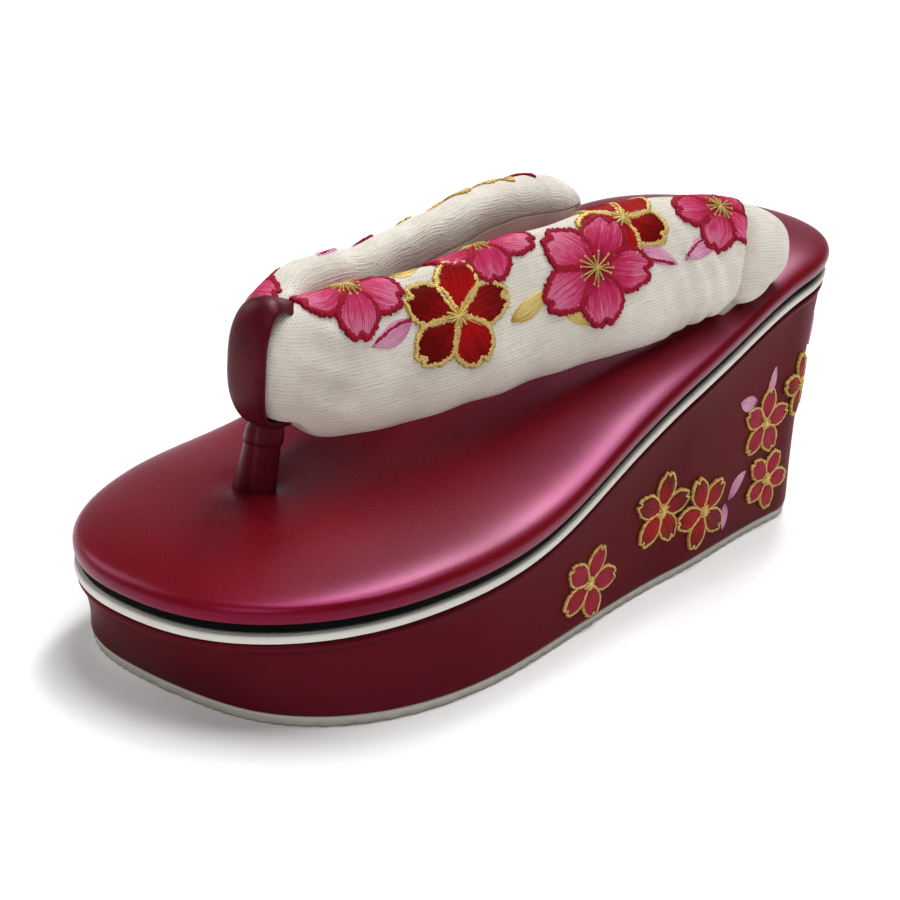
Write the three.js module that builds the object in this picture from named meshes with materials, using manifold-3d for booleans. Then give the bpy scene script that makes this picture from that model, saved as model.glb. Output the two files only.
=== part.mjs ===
// A wave-soled zori sandal for the left foot, as separate pieces.
// Millimetres, +Z up. The toe points to -Y and the outer side of the foot to +X.
// The origin is on the floor, under the middle of the length.
import * as THREE from 'three';
import Module from 'manifold-3d';

const wasm = await Module();
wasm.setup();

// ---- Driving dimensions ----

// Plan outline at the white edge strip: a superellipse at the toe, a smooth waist and a round heel.
const SOLE_LENGTH = 240;
const BALL = { y: -53, halfWidth: 46.6, roundness: 2.3 };
const WAIST = { y: 26, halfWidth: 42.4 };
const HEEL = { y: 83, halfWidth: 40.3, roundness: 2.25 };
const TOE_STEPS = 13;
const SIDE_STEPS = 16;
const HEEL_STEPS = 11;

// Height of the white edge strip's middle above the floor, along the sole.
const WAVE = [
  { y: -120, z: 20.3 },
  { y: -80, z: 22.8 },
  { y: -40, z: 26.9 },
  { y: 0, z: 39.4 },
  { y: 40, z: 51.9 },
  { y: 80, z: 63.0 },
  { y: 120, z: 69.9 },
];

// Layers of the sole, as heights above (or below) the middle of the strip.
const CURVED_GAP = 0.3;
const STRIP_HALF_THICKNESS = 1.0;
const STRIP_PROUD = 0.5;
const BOARD_THICKNESS = 2.7;
const BOARD_INSET = 1.1;
const PAD_THICKNESS = 6.0;
const PAD_OVERHANG = 0.5;
const OUTSOLE_THICKNESS = 2.6;
const OUTSOLE_INSET = 0.5;

// How far the foot of the wedge sits inside the strip at the toe tip, the sides and the heel, and
// how late each end's inset grows as the outline turns to it.
const WEDGE_FOOT_INSET = { toe: 9.3, side: -0.8, heel: 10.4 };
const WEDGE_FOOT_CORNER = { toe: 2, heel: 1.15 };
const WEDGE_TOP_INSET = 0.6;
const WEDGE_WAIST_INSET = 0.9;

// Strap: its two legs leave a common front point and lean in over the foot.
const STRAP_FRONT_Y = -82;
const STRAP_FRONT_ROUNDING = 13;
const STRAP_REAR_ROUNDING = 19;
const STRAP_SECTION_ROUNDNESS = 2.5;
const STRAP_SECTIONS = 30;
const STRAP_SECTION_POINTS = 24;

// One row for each strap section: place of its middle, height of the band, thickness, inward lean.
const OUTER_LEG = [
  { y: -82, x: -6.5, z: 63.6, width: 25, thickness: 16, lean: 0 },
  { y: -73, x: -5.0, z: 62.8, width: 26, thickness: 14.5, lean: 0 },
  { y: -62, x: -1.6, z: 61.0, width: 31, thickness: 12.5, lean: 10 },
  { y: -37, x: 5.2, z: 63.5, width: 33, thickness: 12.5, lean: 17 },
  { y: -11, x: 13.5, z: 69.1, width: 33.5, thickness: 13, lean: 19 },
  { y: 18, x: 22.3, z: 74.2, width: 34.8, thickness: 13.5, lean: 22 },
  { y: 34, x: 26.9, z: 76.8, width: 32.3, thickness: 14, lean: 24 },
  { y: 47, x: 30.1, z: 78.3, width: 27.6, thickness: 15, lean: 25 },
  { y: 58, x: 32.3, z: 78.0, width: 23.5, thickness: 16.5, lean: 24 },
  { y: 67, x: 33.2, z: 77.8, width: 20, thickness: 17, lean: 20 },
  { y: 76, x: 33.2, z: 77.6, width: 16, thickness: 17, lean: 14 },
];
const INNER_LEG = [
  { y: -82, x: -6.5, z: 63.6, width: 25, thickness: 16, lean: 0 },
  { y: -73, x: -8.0, z: 63.4, width: 26, thickness: 14.5, lean: 0 },
  { y: -62, x: -11.4, z: 65.4, width: 31, thickness: 12.5, lean: 10 },
  { y: -37, x: -16.6, z: 67.0, width: 33, thickness: 12.5, lean: 17 },
  { y: -11, x: -22.2, z: 69.2, width: 32, thickness: 13, lean: 19 },
  { y: 18, x: -27.2, z: 73.4, width: 29, thickness: 13.5, lean: 22 },
  { y: 34, x: -30.0, z: 75.0, width: 26, thickness: 14, lean: 24 },
  { y: 47, x: -32.0, z: 75.4, width: 23.5, thickness: 15, lean: 25 },
  { y: 60, x: -33.4, z: 75.4, width: 20, thickness: 16.5, lean: 24 },
  { y: 70, x: -33.6, z: 76.0, width: 17, thickness: 17, lean: 20 },
  { y: 79, x: -33.2, z: 76.4, width: 14, thickness: 17, lean: 14 },
];

// Flat tails under the rear ends of the strap, and the slots they enter.
const TAIL = { y: 52, length: 10, thickness: 3.2, depth: 3.4, height: 12 };
const TAIL_X = [34.0, -35.0];

// Leather band round the front of the strap, and the rolled stem between the toes.
const BAND = { x: -6.5, y: -72.2, z: 63.0, halfDepth: 10.6, halfHeight: 13.4, roundness: 2.3 };
const BAND_THICKNESS = 1.5;
const BAND_WIDTH = { front: 11.5, top: 12, back: 7, bottom: 8 };
const BAND_FRONT_SAG = 1.8;
const BAND_STEPS = 44;
const STEM_FOOT = { x: -11, y: -72 };
const STEM_TOP = { x: -6.8, y: -71.0, z: 48.2 };
const STEM_WIDTH = 9.6;
const STEM_THICKNESS = 8.0;
const STEM_DEPTH = 4.0;
const STEM_SIDES = 16;

// ---- Numbers along a table ----

// Smooth value of one column at y: a cubic between rows, with the slope of the neighbours.
function along(rows, column, y) {
  let i = 0;
  while (i < rows.length - 2 && y > rows[i + 1].y) i += 1;
  const a = rows[i];
  const b = rows[i + 1];
  const slope = (k) => {
    const before = rows[Math.max(k - 1, 0)];
    const after = rows[Math.min(k + 1, rows.length - 1)];
    return (after[column] - before[column]) / (after.y - before.y);
  };
  const step = b.y - a.y;
  const t = (y - a.y) / step;
  const pullA = slope(i) * step;
  const pullB = slope(i + 1) * step;
  const t2 = t * t;
  const t3 = t2 * t;
  return a[column] * (2 * t3 - 3 * t2 + 1) + pullA * (t3 - 2 * t2 + t)
    + b[column] * (3 * t2 - 2 * t3) + pullB * (t3 - t2);
}

const waveHeight = (y) => along(WAVE, 'z', THREE.MathUtils.clamp(y, -SOLE_LENGTH / 2, SOLE_LENGTH / 2));
const power = (value, exponent) => Math.sign(value) * Math.abs(value) ** exponent;

// ---- The sole's outline and the layers stacked on it ----

// The outer half of the outline, from the toe tip to the heel tip.
function halfOutline() {
  const points = [];
  const toeLength = BALL.y + SOLE_LENGTH / 2;
  const heelLength = SOLE_LENGTH / 2 - HEEL.y;
  for (let i = 0; i < TOE_STEPS; i += 1) {
    const angle = (i / TOE_STEPS) * (Math.PI / 2);
    points.push([
      BALL.halfWidth * Math.sin(angle) ** (2 / BALL.roundness),
      BALL.y - toeLength * Math.cos(angle) ** (2 / BALL.roundness),
    ]);
  }
  const side = [
    { y: BALL.y, x: BALL.halfWidth },
    { y: WAIST.y, x: WAIST.halfWidth },
    { y: HEEL.y, x: HEEL.halfWidth },
  ];
  for (let i = 0; i < SIDE_STEPS; i += 1) {
    const y = BALL.y + (i / SIDE_STEPS) * (HEEL.y - BALL.y);
    const from = y < WAIST.y ? side[0] : side[1];
    const to = y < WAIST.y ? side[1] : side[2];
    const eased = THREE.MathUtils.smoothstep(y, from.y, to.y);
    points.push([THREE.MathUtils.lerp(from.x, to.x, eased), y]);
  }
  for (let i = 0; i <= HEEL_STEPS; i += 1) {
    const angle = (i / HEEL_STEPS) * (Math.PI / 2);
    points.push([
      HEEL.halfWidth * Math.max(Math.cos(angle), 0) ** (2 / HEEL.roundness),
      HEEL.y + heelLength * Math.sin(angle) ** (2 / HEEL.roundness),
    ]);
  }
  points[0][0] = 0;
  points[points.length - 1][0] = 0;
  return points;
}

// The closed outline with an outward direction at each point.
function fullOutline() {
  const half = halfOutline();
  const inner = half.slice(1, -1).reverse().map(([x, y]) => [-x, y]);
  const ring = [...half, ...inner];
  return ring.map(([x, y], i) => {
    const before = ring[(i + ring.length - 1) % ring.length];
    const after = ring[(i + 1) % ring.length];
    const out = new THREE.Vector2(after[1] - before[1], before[0] - after[0]).normalize();
    return { x, y, out };
  });
}
const OUTLINE = fullOutline();

// One ring of a layer: the outline moved in by inset(point), at the height level(x, y).
function ring(inset, level) {
  return OUTLINE.map((point) => {
    const x = point.x - point.out.x * inset(point);
    const y = point.y - point.out.y * inset(point);
    return [x, y, level(x, y)];
  });
}

// A closed solid from rings given bottom to top: walls between them and a strip-wise cap at each end.
function layer(rings) {
  const count = OUTLINE.length;
  const positions = rings.flat(2);
  const index = [];
  for (let r = 0; r < rings.length - 1; r += 1) {
    for (let i = 0; i < count; i += 1) {
      const a = r * count + i;
      const b = r * count + (i + 1) % count;
      index.push(a, b, b + count, a, b + count, a + count);
    }
  }
  const cap = (base, turned) => {
    const face = (a, b, c) => index.push(base + a, base + (turned ? c : b), base + (turned ? b : c));
    const last = count / 2;
    face(0, 1, count - 1);
    for (let i = 1; i < last - 1; i += 1) {
      face(i, i + 1, count - i);
      face(i + 1, count - i - 1, count - i);
    }
    face(last - 1, last, last + 1);
  };
  cap(0, true);
  cap((rings.length - 1) * count, false);
  return solid(positions, index);
}

const fixed = (value) => () => value;
const aboveWave = (rise) => (x, y) => waveHeight(y) + rise;

// The foot of the wedge: its inset blends from the sides to the toe tip and the heel tip.
function wedgeFootInset(point) {
  const { toe, side, heel } = WEDGE_FOOT_INSET;
  const atToe = point.out.y < 0;
  const turned = Math.abs(point.out.y) ** (atToe ? WEDGE_FOOT_CORNER.toe : WEDGE_FOOT_CORNER.heel);
  return side + ((atToe ? toe : heel) - side) * turned;
}

function outsoleSolid() {
  const inset = (point) => wedgeFootInset(point) + OUTSOLE_INSET;
  const bevelled = (point) => inset(point) + OUTSOLE_INSET;
  return layer([
    ring(bevelled, fixed(0)),
    ring(inset, fixed(OUTSOLE_INSET)),
    ring(inset, fixed(OUTSOLE_THICKNESS)),
  ]);
}

function wedgeSolid() {
  const topRise = -STRIP_HALF_THICKNESS - CURVED_GAP;
  const steps = 6;
  const rings = [];
  for (let i = 0; i <= steps; i += 1) {
    const t = i / steps;
    const inset = (point) => {
      const straight = THREE.MathUtils.lerp(wedgeFootInset(point), WEDGE_TOP_INSET, t);
      return straight + WEDGE_WAIST_INSET * Math.sin(Math.PI * t) * (1 - point.out.y ** 2);
    };
    const level = (x, y) => THREE.MathUtils.lerp(OUTSOLE_THICKNESS, waveHeight(y) + topRise, t);
    rings.push(ring(inset, level));
  }
  return layer(rings);
}

function stripSolid() {
  const edge = [
    [1.0, -STRIP_HALF_THICKNESS],
    [-0.6 * STRIP_PROUD, -0.75 * STRIP_HALF_THICKNESS],
    [-STRIP_PROUD, 0],
    [-0.6 * STRIP_PROUD, 0.75 * STRIP_HALF_THICKNESS],
    [1.0, STRIP_HALF_THICKNESS],
  ];
  return layer(edge.map(([inset, rise]) => ring(fixed(inset), aboveWave(rise))));
}

const BOARD_FOOT = STRIP_HALF_THICKNESS + CURVED_GAP;
const PAD_FOOT = BOARD_FOOT + BOARD_THICKNESS + CURVED_GAP;

function boardSolid() {
  return layer([
    ring(fixed(BOARD_INSET + 0.6), aboveWave(BOARD_FOOT)),
    ring(fixed(BOARD_INSET), aboveWave(BOARD_FOOT + 0.6)),
    ring(fixed(BOARD_INSET), aboveWave(BOARD_FOOT + BOARD_THICKNESS)),
  ]);
}

// The footbed pad's rolled edge, from its underside out and round to the crowned top. Each row
// gives the inset from the outline and the height as a share of the pad's thickness.
const PAD_ROLL = [
  { inset: 3.4, share: 0 },
  { inset: 0.4, share: 0.06 },
  { inset: -PAD_OVERHANG, share: 0.3 },
  { inset: -0.5, share: 0.54 },
  { inset: 1.4, share: 0.76 },
  { inset: 4.8, share: 0.9 },
  { inset: 11, share: 0.98 },
  { inset: 21, share: 1.0 },
];

function padSolid(lift = 0) {
  return layer(PAD_ROLL.map(({ inset, share }) => (
    ring(fixed(inset), aboveWave(PAD_FOOT + share * PAD_THICKNESS + lift)))));
}

// ---- Closed solids and booleans ----

function solid(positions, index) {
  return new wasm.Manifold(new wasm.Mesh({
    numProp: 3,
    vertProperties: Float32Array.from(positions),
    triVerts: Uint32Array.from(index),
  }));
}

// A closed solid lofted through rings of equal length, with a fan on a middle point at each end.
function loft(rings, firstTip, lastTip) {
  const count = rings[0].length;
  const positions = [...rings.flat(2), ...firstTip, ...lastTip];
  const first = rings.length * count;
  const index = [];
  for (let i = 0; i < count; i += 1) {
    const j = (i + 1) % count;
    for (let r = 0; r < rings.length - 1; r += 1) {
      const a = r * count + i;
      const b = r * count + j;
      index.push(a, b, b + count, a, b + count, a + count);
    }
    const base = (rings.length - 1) * count;
    index.push(first, j, i, first + 1, base + i, base + j);
  }
  return solid(positions, index);
}

// ---- The strap ----

// One padded leg, front to rear. Its section is a rounded band that leans towards the foot's middle.
function legSolid(rows, side) {
  const rearY = rows[rows.length - 1].y;
  const length = rearY - STRAP_FRONT_Y;
  const rings = [];
  for (let s = 1; s < STRAP_SECTIONS; s += 1) {
    const t = s / STRAP_SECTIONS;
    const eased = (t + (1 - Math.cos(Math.PI * t)) / 2) / 2;
    const y = STRAP_FRONT_Y + length * eased;
    const nearFront = Math.max(1 - (y - STRAP_FRONT_Y) / STRAP_FRONT_ROUNDING, 0);
    const nearRear = Math.max(1 - (rearY - y) / STRAP_REAR_ROUNDING, 0);
    const end = Math.max(nearFront, nearRear);
    const shrink = (1 - end ** 2.2) ** (1 / 2.2);
    const halfWidth = along(rows, 'width', y) / 2 * shrink;
    const halfThickness = along(rows, 'thickness', y) / 2 * shrink;
    const lean = THREE.MathUtils.degToRad(along(rows, 'lean', y)) * side;
    const section = [];
    for (let i = 0; i < STRAP_SECTION_POINTS; i += 1) {
      const angle = (i / STRAP_SECTION_POINTS) * 2 * Math.PI;
      const out = power(Math.cos(angle), 2 / STRAP_SECTION_ROUNDNESS) * halfThickness;
      const up = -power(Math.sin(angle), 2 / STRAP_SECTION_ROUNDNESS) * halfWidth;
      section.push([
        along(rows, 'x', y) + out * Math.cos(lean) - up * Math.sin(lean),
        y,
        along(rows, 'z', y) + out * Math.sin(lean) + up * Math.cos(lean),
      ]);
    }
    rings.push(section);
  }
  const first = rows[0];
  const last = rows[rows.length - 1];
  return loft(rings, [first.x, STRAP_FRONT_Y, first.z], [last.x, rearY, last.z]);
}

// An upright flat tail (or, with grow above zero, the slot for it).
function tailSolid(x, grow) {
  const foot = waveHeight(TAIL.y) + PAD_FOOT + PAD_THICKNESS - TAIL.depth - grow;
  return wasm.Manifold.cube([TAIL.thickness + 2 * grow, TAIL.length + 2 * grow, TAIL.height], true)
    .translate([x, TAIL.y, foot + TAIL.height / 2]);
}

// ---- The toe band and its stem ----

// The band's width at an angle round its loop, where 0 is the back and 90 degrees the top.
function bandWidth(angle) {
  const across = Math.cos(angle);
  const up = Math.sin(angle);
  const deep = across > 0 ? BAND_WIDTH.back : BAND_WIDTH.front;
  const tall = up > 0 ? BAND_WIDTH.top : BAND_WIDTH.bottom;
  return deep * across ** 2 + tall * up ** 2;
}

// A flat leather loop in the plane of the stem, curved across where it lies on the rounded front.
function bandSolid(grow) {
  const across = [-1, -0.5, 0, 0.5, 1];
  const half = BAND_THICKNESS / 2 + grow;
  const count = across.length * 2;
  const positions = [];
  const index = [];
  for (let s = 0; s < BAND_STEPS; s += 1) {
    const angle = (s / BAND_STEPS) * 2 * Math.PI;
    const exponent = 2 / BAND.roundness;
    const y = BAND.y + BAND.halfDepth * power(Math.cos(angle), exponent);
    const z = BAND.z + BAND.halfHeight * power(Math.sin(angle), exponent);
    const out = new THREE.Vector2(
      BAND.halfHeight * power(Math.cos(angle), 2 - exponent),
      BAND.halfDepth * power(Math.sin(angle), 2 - exponent),
    ).normalize();
    const sag = BAND_FRONT_SAG * Math.max(-Math.cos(angle), 0) ** 2;
    const halfWidth = bandWidth(angle) / 2 + grow;
    const point = (u, depth) => {
      const move = depth - sag * u * u;
      positions.push(BAND.x + u * halfWidth, y + out.x * move, z + out.y * move);
    };
    across.forEach((u) => point(u, half));
    [...across].reverse().forEach((u) => point(u, -half));
    for (let i = 0; i < count; i += 1) {
      const a = s * count + i;
      const b = s * count + (i + 1) % count;
      const c = ((s + 1) % BAND_STEPS) * count + (i + 1) % count;
      const d = ((s + 1) % BAND_STEPS) * count + i;
      index.push(a, c, b, a, d, c);
    }
  }
  return solid(positions, index);
}

// The rolled stem: an oval rod from inside the pad up to the band, a little slimmer at its waist.
function stemSolid(grow) {
  const padTop = waveHeight(STEM_FOOT.y) + PAD_FOOT + PAD_THICKNESS;
  const foot = padTop - STEM_DEPTH - grow;
  const rows = [
    { level: foot, swell: 1 },
    { level: padTop + 1, swell: 1 },
    { level: (padTop + STEM_TOP.z) / 2, swell: 0.9 },
    { level: STEM_TOP.z - 3, swell: 1.02 },
    { level: STEM_TOP.z - 1 + grow, swell: 0.94 },
    { level: STEM_TOP.z + grow, swell: 0.7 },
  ];
  const rings = rows.map(({ level, swell }) => {
    const t = THREE.MathUtils.clamp((level - padTop) / (STEM_TOP.z - padTop), -1, 1);
    const x = THREE.MathUtils.lerp(STEM_FOOT.x, STEM_TOP.x, t);
    const y = THREE.MathUtils.lerp(STEM_FOOT.y, STEM_TOP.y, t);
    const section = [];
    for (let i = 0; i < STEM_SIDES; i += 1) {
      const angle = (i / STEM_SIDES) * 2 * Math.PI;
      section.push([
        x + (STEM_WIDTH / 2 * swell + grow) * Math.cos(angle),
        y + (STEM_THICKNESS / 2 * swell + grow) * Math.sin(angle),
        level,
      ]);
    }
    return section;
  });
  const middle = (section, level) => {
    const sum = section.reduce((total, [x, y]) => [total[0] + x, total[1] + y], [0, 0]);
    return [sum[0] / section.length, sum[1] / section.length, level];
  };
  return loft(rings, middle(rings[0], foot), middle(rings[rings.length - 1], STEM_TOP.z + grow));
}

// ---- Putting the pieces together ----

const stemRoom = stemSolid(CURVED_GAP);
const bandRoom = bandSolid(CURVED_GAP);

function strapSolid() {
  const legs = wasm.Manifold.union(legSolid(OUTER_LEG, 1), legSolid(INNER_LEG, -1));
  const onPad = legs.subtract(padSolid(CURVED_GAP)).subtract(bandRoom).subtract(stemRoom);
  const tails = TAIL_X.map((x) => tailSolid(x, 0));
  return wasm.Manifold.union([onPad, ...tails]);
}

function slottedPad() {
  const cuts = [...TAIL_X.map((x) => tailSolid(x, CURVED_GAP)), stemRoom];
  return padSolid().subtract(wasm.Manifold.union(cuts));
}

const MATERIALS = {
  rubber: { color: '#a9a69f', roughness: 0.8, metalness: 0 },
  burgundyLeather: { color: '#5a1f28', roughness: 0.38, metalness: 0 },
  whiteStrip: { color: '#e2dfd8', roughness: 0.4, metalness: 0 },
  blackBoard: { color: '#14110f', roughness: 0.2, metalness: 0 },
  pearlRed: { color: '#8a1f33', roughness: 0.32, metalness: 0.1 },
  creamCotton: { color: '#e6dfd3', roughness: 0.9, metalness: 0 },
  darkLeather: { color: '#5e1a26', roughness: 0.4, metalness: 0 },
};

const sandal = new THREE.Group();

function add(name, shape, material) {
  const mesh = shape.getMesh();
  const geometry = new THREE.BufferGeometry();
  geometry.setAttribute('position', new THREE.BufferAttribute(mesh.vertProperties, 3));
  geometry.setIndex(new THREE.BufferAttribute(mesh.triVerts, 1));
  geometry.computeVertexNormals();
  const piece = new THREE.Mesh(geometry, new THREE.MeshStandardMaterial(MATERIALS[material]));
  piece.name = name;
  sandal.add(piece);
}

add('outsole', outsoleSolid(), 'rubber');
add('wedge', wedgeSolid(), 'burgundyLeather');
add('edge_strip', stripSolid(), 'whiteStrip');
add('insole_board', boardSolid(), 'blackBoard');
add('footbed_pad', slottedPad(), 'pearlRed');
add('strap', strapSolid(), 'creamCotton');
add('toe_band', bandSolid(0), 'darkLeather');
add('toe_stem', stemSolid(0), 'darkLeather');

export default sandal;
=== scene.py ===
# %% [markdown]
# # A wave-soled zori sandal
#
# A zori is a Japanese sandal with a closed, cushioned sole and a padded V strap, the hanao, held
# between the toes. This one stands on a tall wedge whose top runs in a wave, from a low toe to a
# high heel. The file loads the solid model as a frame, then lays a finished surface over each of
# its pieces, in metres and in the same place.

# %% Load the solid model
import math

import bpy
import numpy as np
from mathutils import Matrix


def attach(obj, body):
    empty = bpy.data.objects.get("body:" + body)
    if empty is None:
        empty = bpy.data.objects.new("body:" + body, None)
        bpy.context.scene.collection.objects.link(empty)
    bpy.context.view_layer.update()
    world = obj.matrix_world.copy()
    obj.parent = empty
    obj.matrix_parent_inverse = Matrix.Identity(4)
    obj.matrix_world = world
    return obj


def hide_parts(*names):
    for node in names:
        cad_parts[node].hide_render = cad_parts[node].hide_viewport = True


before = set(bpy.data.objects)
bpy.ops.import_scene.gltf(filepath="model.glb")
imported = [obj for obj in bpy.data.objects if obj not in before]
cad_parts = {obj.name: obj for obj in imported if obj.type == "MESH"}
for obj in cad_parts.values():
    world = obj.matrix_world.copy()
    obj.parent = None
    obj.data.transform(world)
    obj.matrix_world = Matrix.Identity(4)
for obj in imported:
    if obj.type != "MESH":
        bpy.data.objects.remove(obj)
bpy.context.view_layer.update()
MM = 0.001
random = np.random.default_rng(7)

# %% [markdown]
# ## Camera
#
# A product view from in front and to the outer side, a little above the footbed. A long lens keeps
# the toe from swelling. Blender's camera looks down its own -Z axis, so the rotation is built from
# the line of sight, and a small roll about that line tips the horizon, as a hand-held view does.

# %% Place the camera
from mathutils import Matrix, Vector

CAMERA_AT = Vector((0.2451, -0.3542, 0.1737))
AIM_AT = Vector((-0.003, -0.012, 0.03))
CAMERA_ROLL = math.radians(4.5)
LENS_MM = 73.0
SENSOR_MM = 36.0
NEAREST_M = 0.01

camera_data = bpy.data.cameras.new("camera")
camera_data.lens = LENS_MM
camera_data.sensor_width = SENSOR_MM
camera_data.clip_start = NEAREST_M
camera = bpy.data.objects.new("camera", camera_data)
sight = (AIM_AT - CAMERA_AT).to_track_quat("-Z", "Y").to_matrix().to_4x4()
camera.matrix_world = Matrix.Translation(CAMERA_AT) @ sight @ Matrix.Rotation(CAMERA_ROLL, 4, "Z")
bpy.context.collection.objects.link(camera)
bpy.context.scene.camera = camera
print("camera to sandal:", round((AIM_AT - CAMERA_AT).length, 3), "m")

# %% [markdown]
# ## Node helpers
#
# A material is a small graph of nodes. One function adds a node with its settings and its links,
# and one turns the sRGB colour that the eye reads into the linear values that a shader mixes. The
# rest are short names for what nearly every finish here uses: a colour ramp, a sum of two numbers,
# and a place in millimetres.


# %% Colour helpers
def linear(text):
    """An sRGB hex colour as linear RGBA: each channel is undone from the sRGB curve."""
    values = [int(text[i:i + 2], 16) / 255 for i in (1, 3, 5)]
    flat = [v / 12.92 if v <= 0.04045 else ((v + 0.055) / 1.055) ** 2.4 for v in values]
    return (*flat, 1.0)


def grey(value):
    """A plain grey as RGBA, for a ramp that carries a number rather than a colour."""
    return (value, value, value, 1.0)


print("mid grey, as the eye reads it and as light:", "#808080", round(linear("#808080")[0], 3))


# %% Node helpers
def add(material, kind, settings=None, **inputs):
    """Adds one node. Settings are its properties; inputs are values, or sockets to link from.

    An input's name is its socket's name with spaces as underscores, or in0, in1 and so on by place.
    """
    tree = material.node_tree
    node = tree.nodes.new(kind)
    for key, value in (settings or {}).items():
        setattr(node, key, value)
    for key, value in inputs.items():
        by_place = key[:2] == "in" and key[2:].isdigit()
        socket = node.inputs[int(key[2:])] if by_place else node.inputs[key.replace("_", " ")]
        if isinstance(value, bpy.types.NodeSocket):
            tree.links.new(value, socket)
        else:
            socket.default_value = value
    return node


def ramp(material, value, stops):
    """A colour ramp through stops of (position, linear colour), read at value."""
    node = add(material, "ShaderNodeValToRGB", in0=value)
    elements = node.color_ramp.elements
    while len(elements) < len(stops):
        elements.new(0.5)
    for element, (position, colour) in zip(elements, stops):
        element.position = position
        element.color = colour
    return node.outputs["Color"]


def new_material(name):
    """An empty node material with its output, and the one output node to link to."""
    material = bpy.data.materials.new(name)
    material.use_nodes = True
    material.node_tree.nodes.clear()
    return material, material.node_tree.nodes.new("ShaderNodeOutputMaterial")


def finish_material(material, output, **inputs):
    """Closes a material with one Principled shader that takes the given inputs."""
    shader = add(material, "ShaderNodeBsdfPrincipled", None, **inputs)
    material.node_tree.links.new(shader.outputs["BSDF"], output.inputs["Surface"])
    return material


def millimetres(material):
    """Object coordinates in millimetres, so that every pattern's scale is one over a real size."""
    place = add(material, "ShaderNodeTexCoord")
    scaled = add(material, "ShaderNodeVectorMath", {"operation": "SCALE"},
                 in0=place.outputs["Object"], Scale=1 / MM)
    return scaled.outputs["Vector"]


def maths(material, operation, a, b=0.0, clamp=False):
    """One number from two, as a socket."""
    settings = {"operation": operation, "use_clamp": clamp}
    return add(material, "ShaderNodeMath", settings, in0=a, in1=b).outputs[0]


def blend(material, factor, a, b):
    """Colour a where factor is 0 and colour b where it is 1."""
    node = add(material, "ShaderNodeMix", {"data_type": "RGBA"}, in0=factor, in6=a, in7=b)
    return node.outputs[2]


print("helpers:", [f.__name__ for f in (add, ramp, finish_material, millimetres, maths, blend)])

# %% [markdown]
# ## Floor and light
#
# The floor is one pale sheet, as wide as a studio. Far from the sandal it glows a little, so that
# it stays pale out to the horizon. The lights are big soft panels: one overhead, one at the front,
# a fill on the inner side, and a narrow one behind the heel, whose reflection slides down the wave
# of the footbed as a pearly band. The sky is bright low down and dark overhead, because glossy red
# leather looks deepest when it mirrors something dark.

# %% Floor
FLOOR_HALF = 12
FLOOR_GLOW = {"from": 1.4, "to": 3.6, "brightness": 0.7}

floor_corners = [(x * FLOOR_HALF, y * FLOOR_HALF, 0)
                 for x, y in ((-1, -1), (1, -1), (1, 1), (-1, 1))]
floor_mesh = bpy.data.meshes.new("floor")
floor_mesh.from_pydata(floor_corners, [], [(0, 1, 2, 3)])
floor = bpy.data.objects.new("floor", floor_mesh)
bpy.context.collection.objects.link(floor)
paper, paper_out = new_material("pale_paper_floor")
spot = add(paper, "ShaderNodeTexCoord")
away = add(paper, "ShaderNodeVectorMath", {"operation": "LENGTH"}, in0=spot.outputs["Object"])
far = add(paper, "ShaderNodeMapRange", {"interpolation_type": "SMOOTHSTEP"},
          Value=away.outputs["Value"], From_Min=FLOOR_GLOW["from"], From_Max=FLOOR_GLOW["to"],
          To_Min=0.0, To_Max=FLOOR_GLOW["brightness"])
floor_mesh.materials.append(finish_material(
    paper, paper_out, Base_Color=linear("#fbfafa"), Roughness=0.8, Specular_IOR_Level=0.1,
    Emission_Color=linear("#ffffff"), Emission_Strength=far.outputs["Result"]))
print("floor:", 2 * FLOOR_HALF, "m wide, glowing beyond", FLOOR_GLOW["from"], "m")

# %% World, from the horizon up
SKY = [(0.06, "#f6f6f8"), (0.14, "#b3b4b6"), (0.5, "#404142")]

world = bpy.data.worlds.new("studio")
world.use_nodes = True
backdrop = world.node_tree.nodes["Background"]
backdrop.inputs["Strength"].default_value = 1.0
toward = world.node_tree.nodes.new("ShaderNodeTexCoord")
height = world.node_tree.nodes.new("ShaderNodeSeparateXYZ")
shades = world.node_tree.nodes.new("ShaderNodeValToRGB")
world.node_tree.links.new(toward.outputs["Generated"], height.inputs["Vector"])
world.node_tree.links.new(height.outputs["Z"], shades.inputs["Fac"])
world.node_tree.links.new(shades.outputs["Color"], backdrop.inputs["Color"])
shades.color_ramp.elements.new(SKY[1][0])
for stop, (position, colour) in zip(shades.color_ramp.elements, SKY):
    stop.position = position
    stop.color = linear(colour)
bpy.context.scene.world = world
print("sky stops:", SKY)

# %% Soft lights
LIGHTS_AIM = Vector((0, 0, 0.05))
LIGHTS = [
    {"name": "overhead_key", "at": (0.3, 0.5, 2.9), "size": (1.6, 1.6), "watts": 60.0},
    {"name": "pearl_panel", "at": (-0.5, 1.25, 2.2), "size": (0.34, 1.3), "watts": 29.0},
    {"name": "front_panel", "at": (1.2, -2.4, 2.6), "size": (2.0, 1.4), "watts": 30.0},
    {"name": "inner_fill", "at": (-2.8, -0.7, 2.2), "size": (1.8, 1.8), "watts": 28.0},
]
for row in LIGHTS:
    light = bpy.data.lights.new(row["name"], "AREA")
    light.shape = "RECTANGLE"
    light.size, light.size_y = row["size"]
    light.energy = row["watts"]
    lamp = bpy.data.objects.new(row["name"], light)
    lamp.location = row["at"]
    lamp.rotation_euler = (LIGHTS_AIM - lamp.location).to_track_quat("-Z", "Y").to_euler()
    bpy.context.collection.objects.link(lamp)
bpy.context.scene.view_settings.view_transform = "Standard"
print("lights:", {row["name"]: row["watts"] for row in LIGHTS})

# %% [markdown]
# ## The sole's two curves
#
# Everything in the sole follows two curves: the plan outline and the wave. The outline is a
# superellipse at the toe, an eased waist and a rounder superellipse at the heel. The wave is a
# short table of heights joined by cubics. Both are whole-array functions, so one call shapes a
# whole ring.

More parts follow.
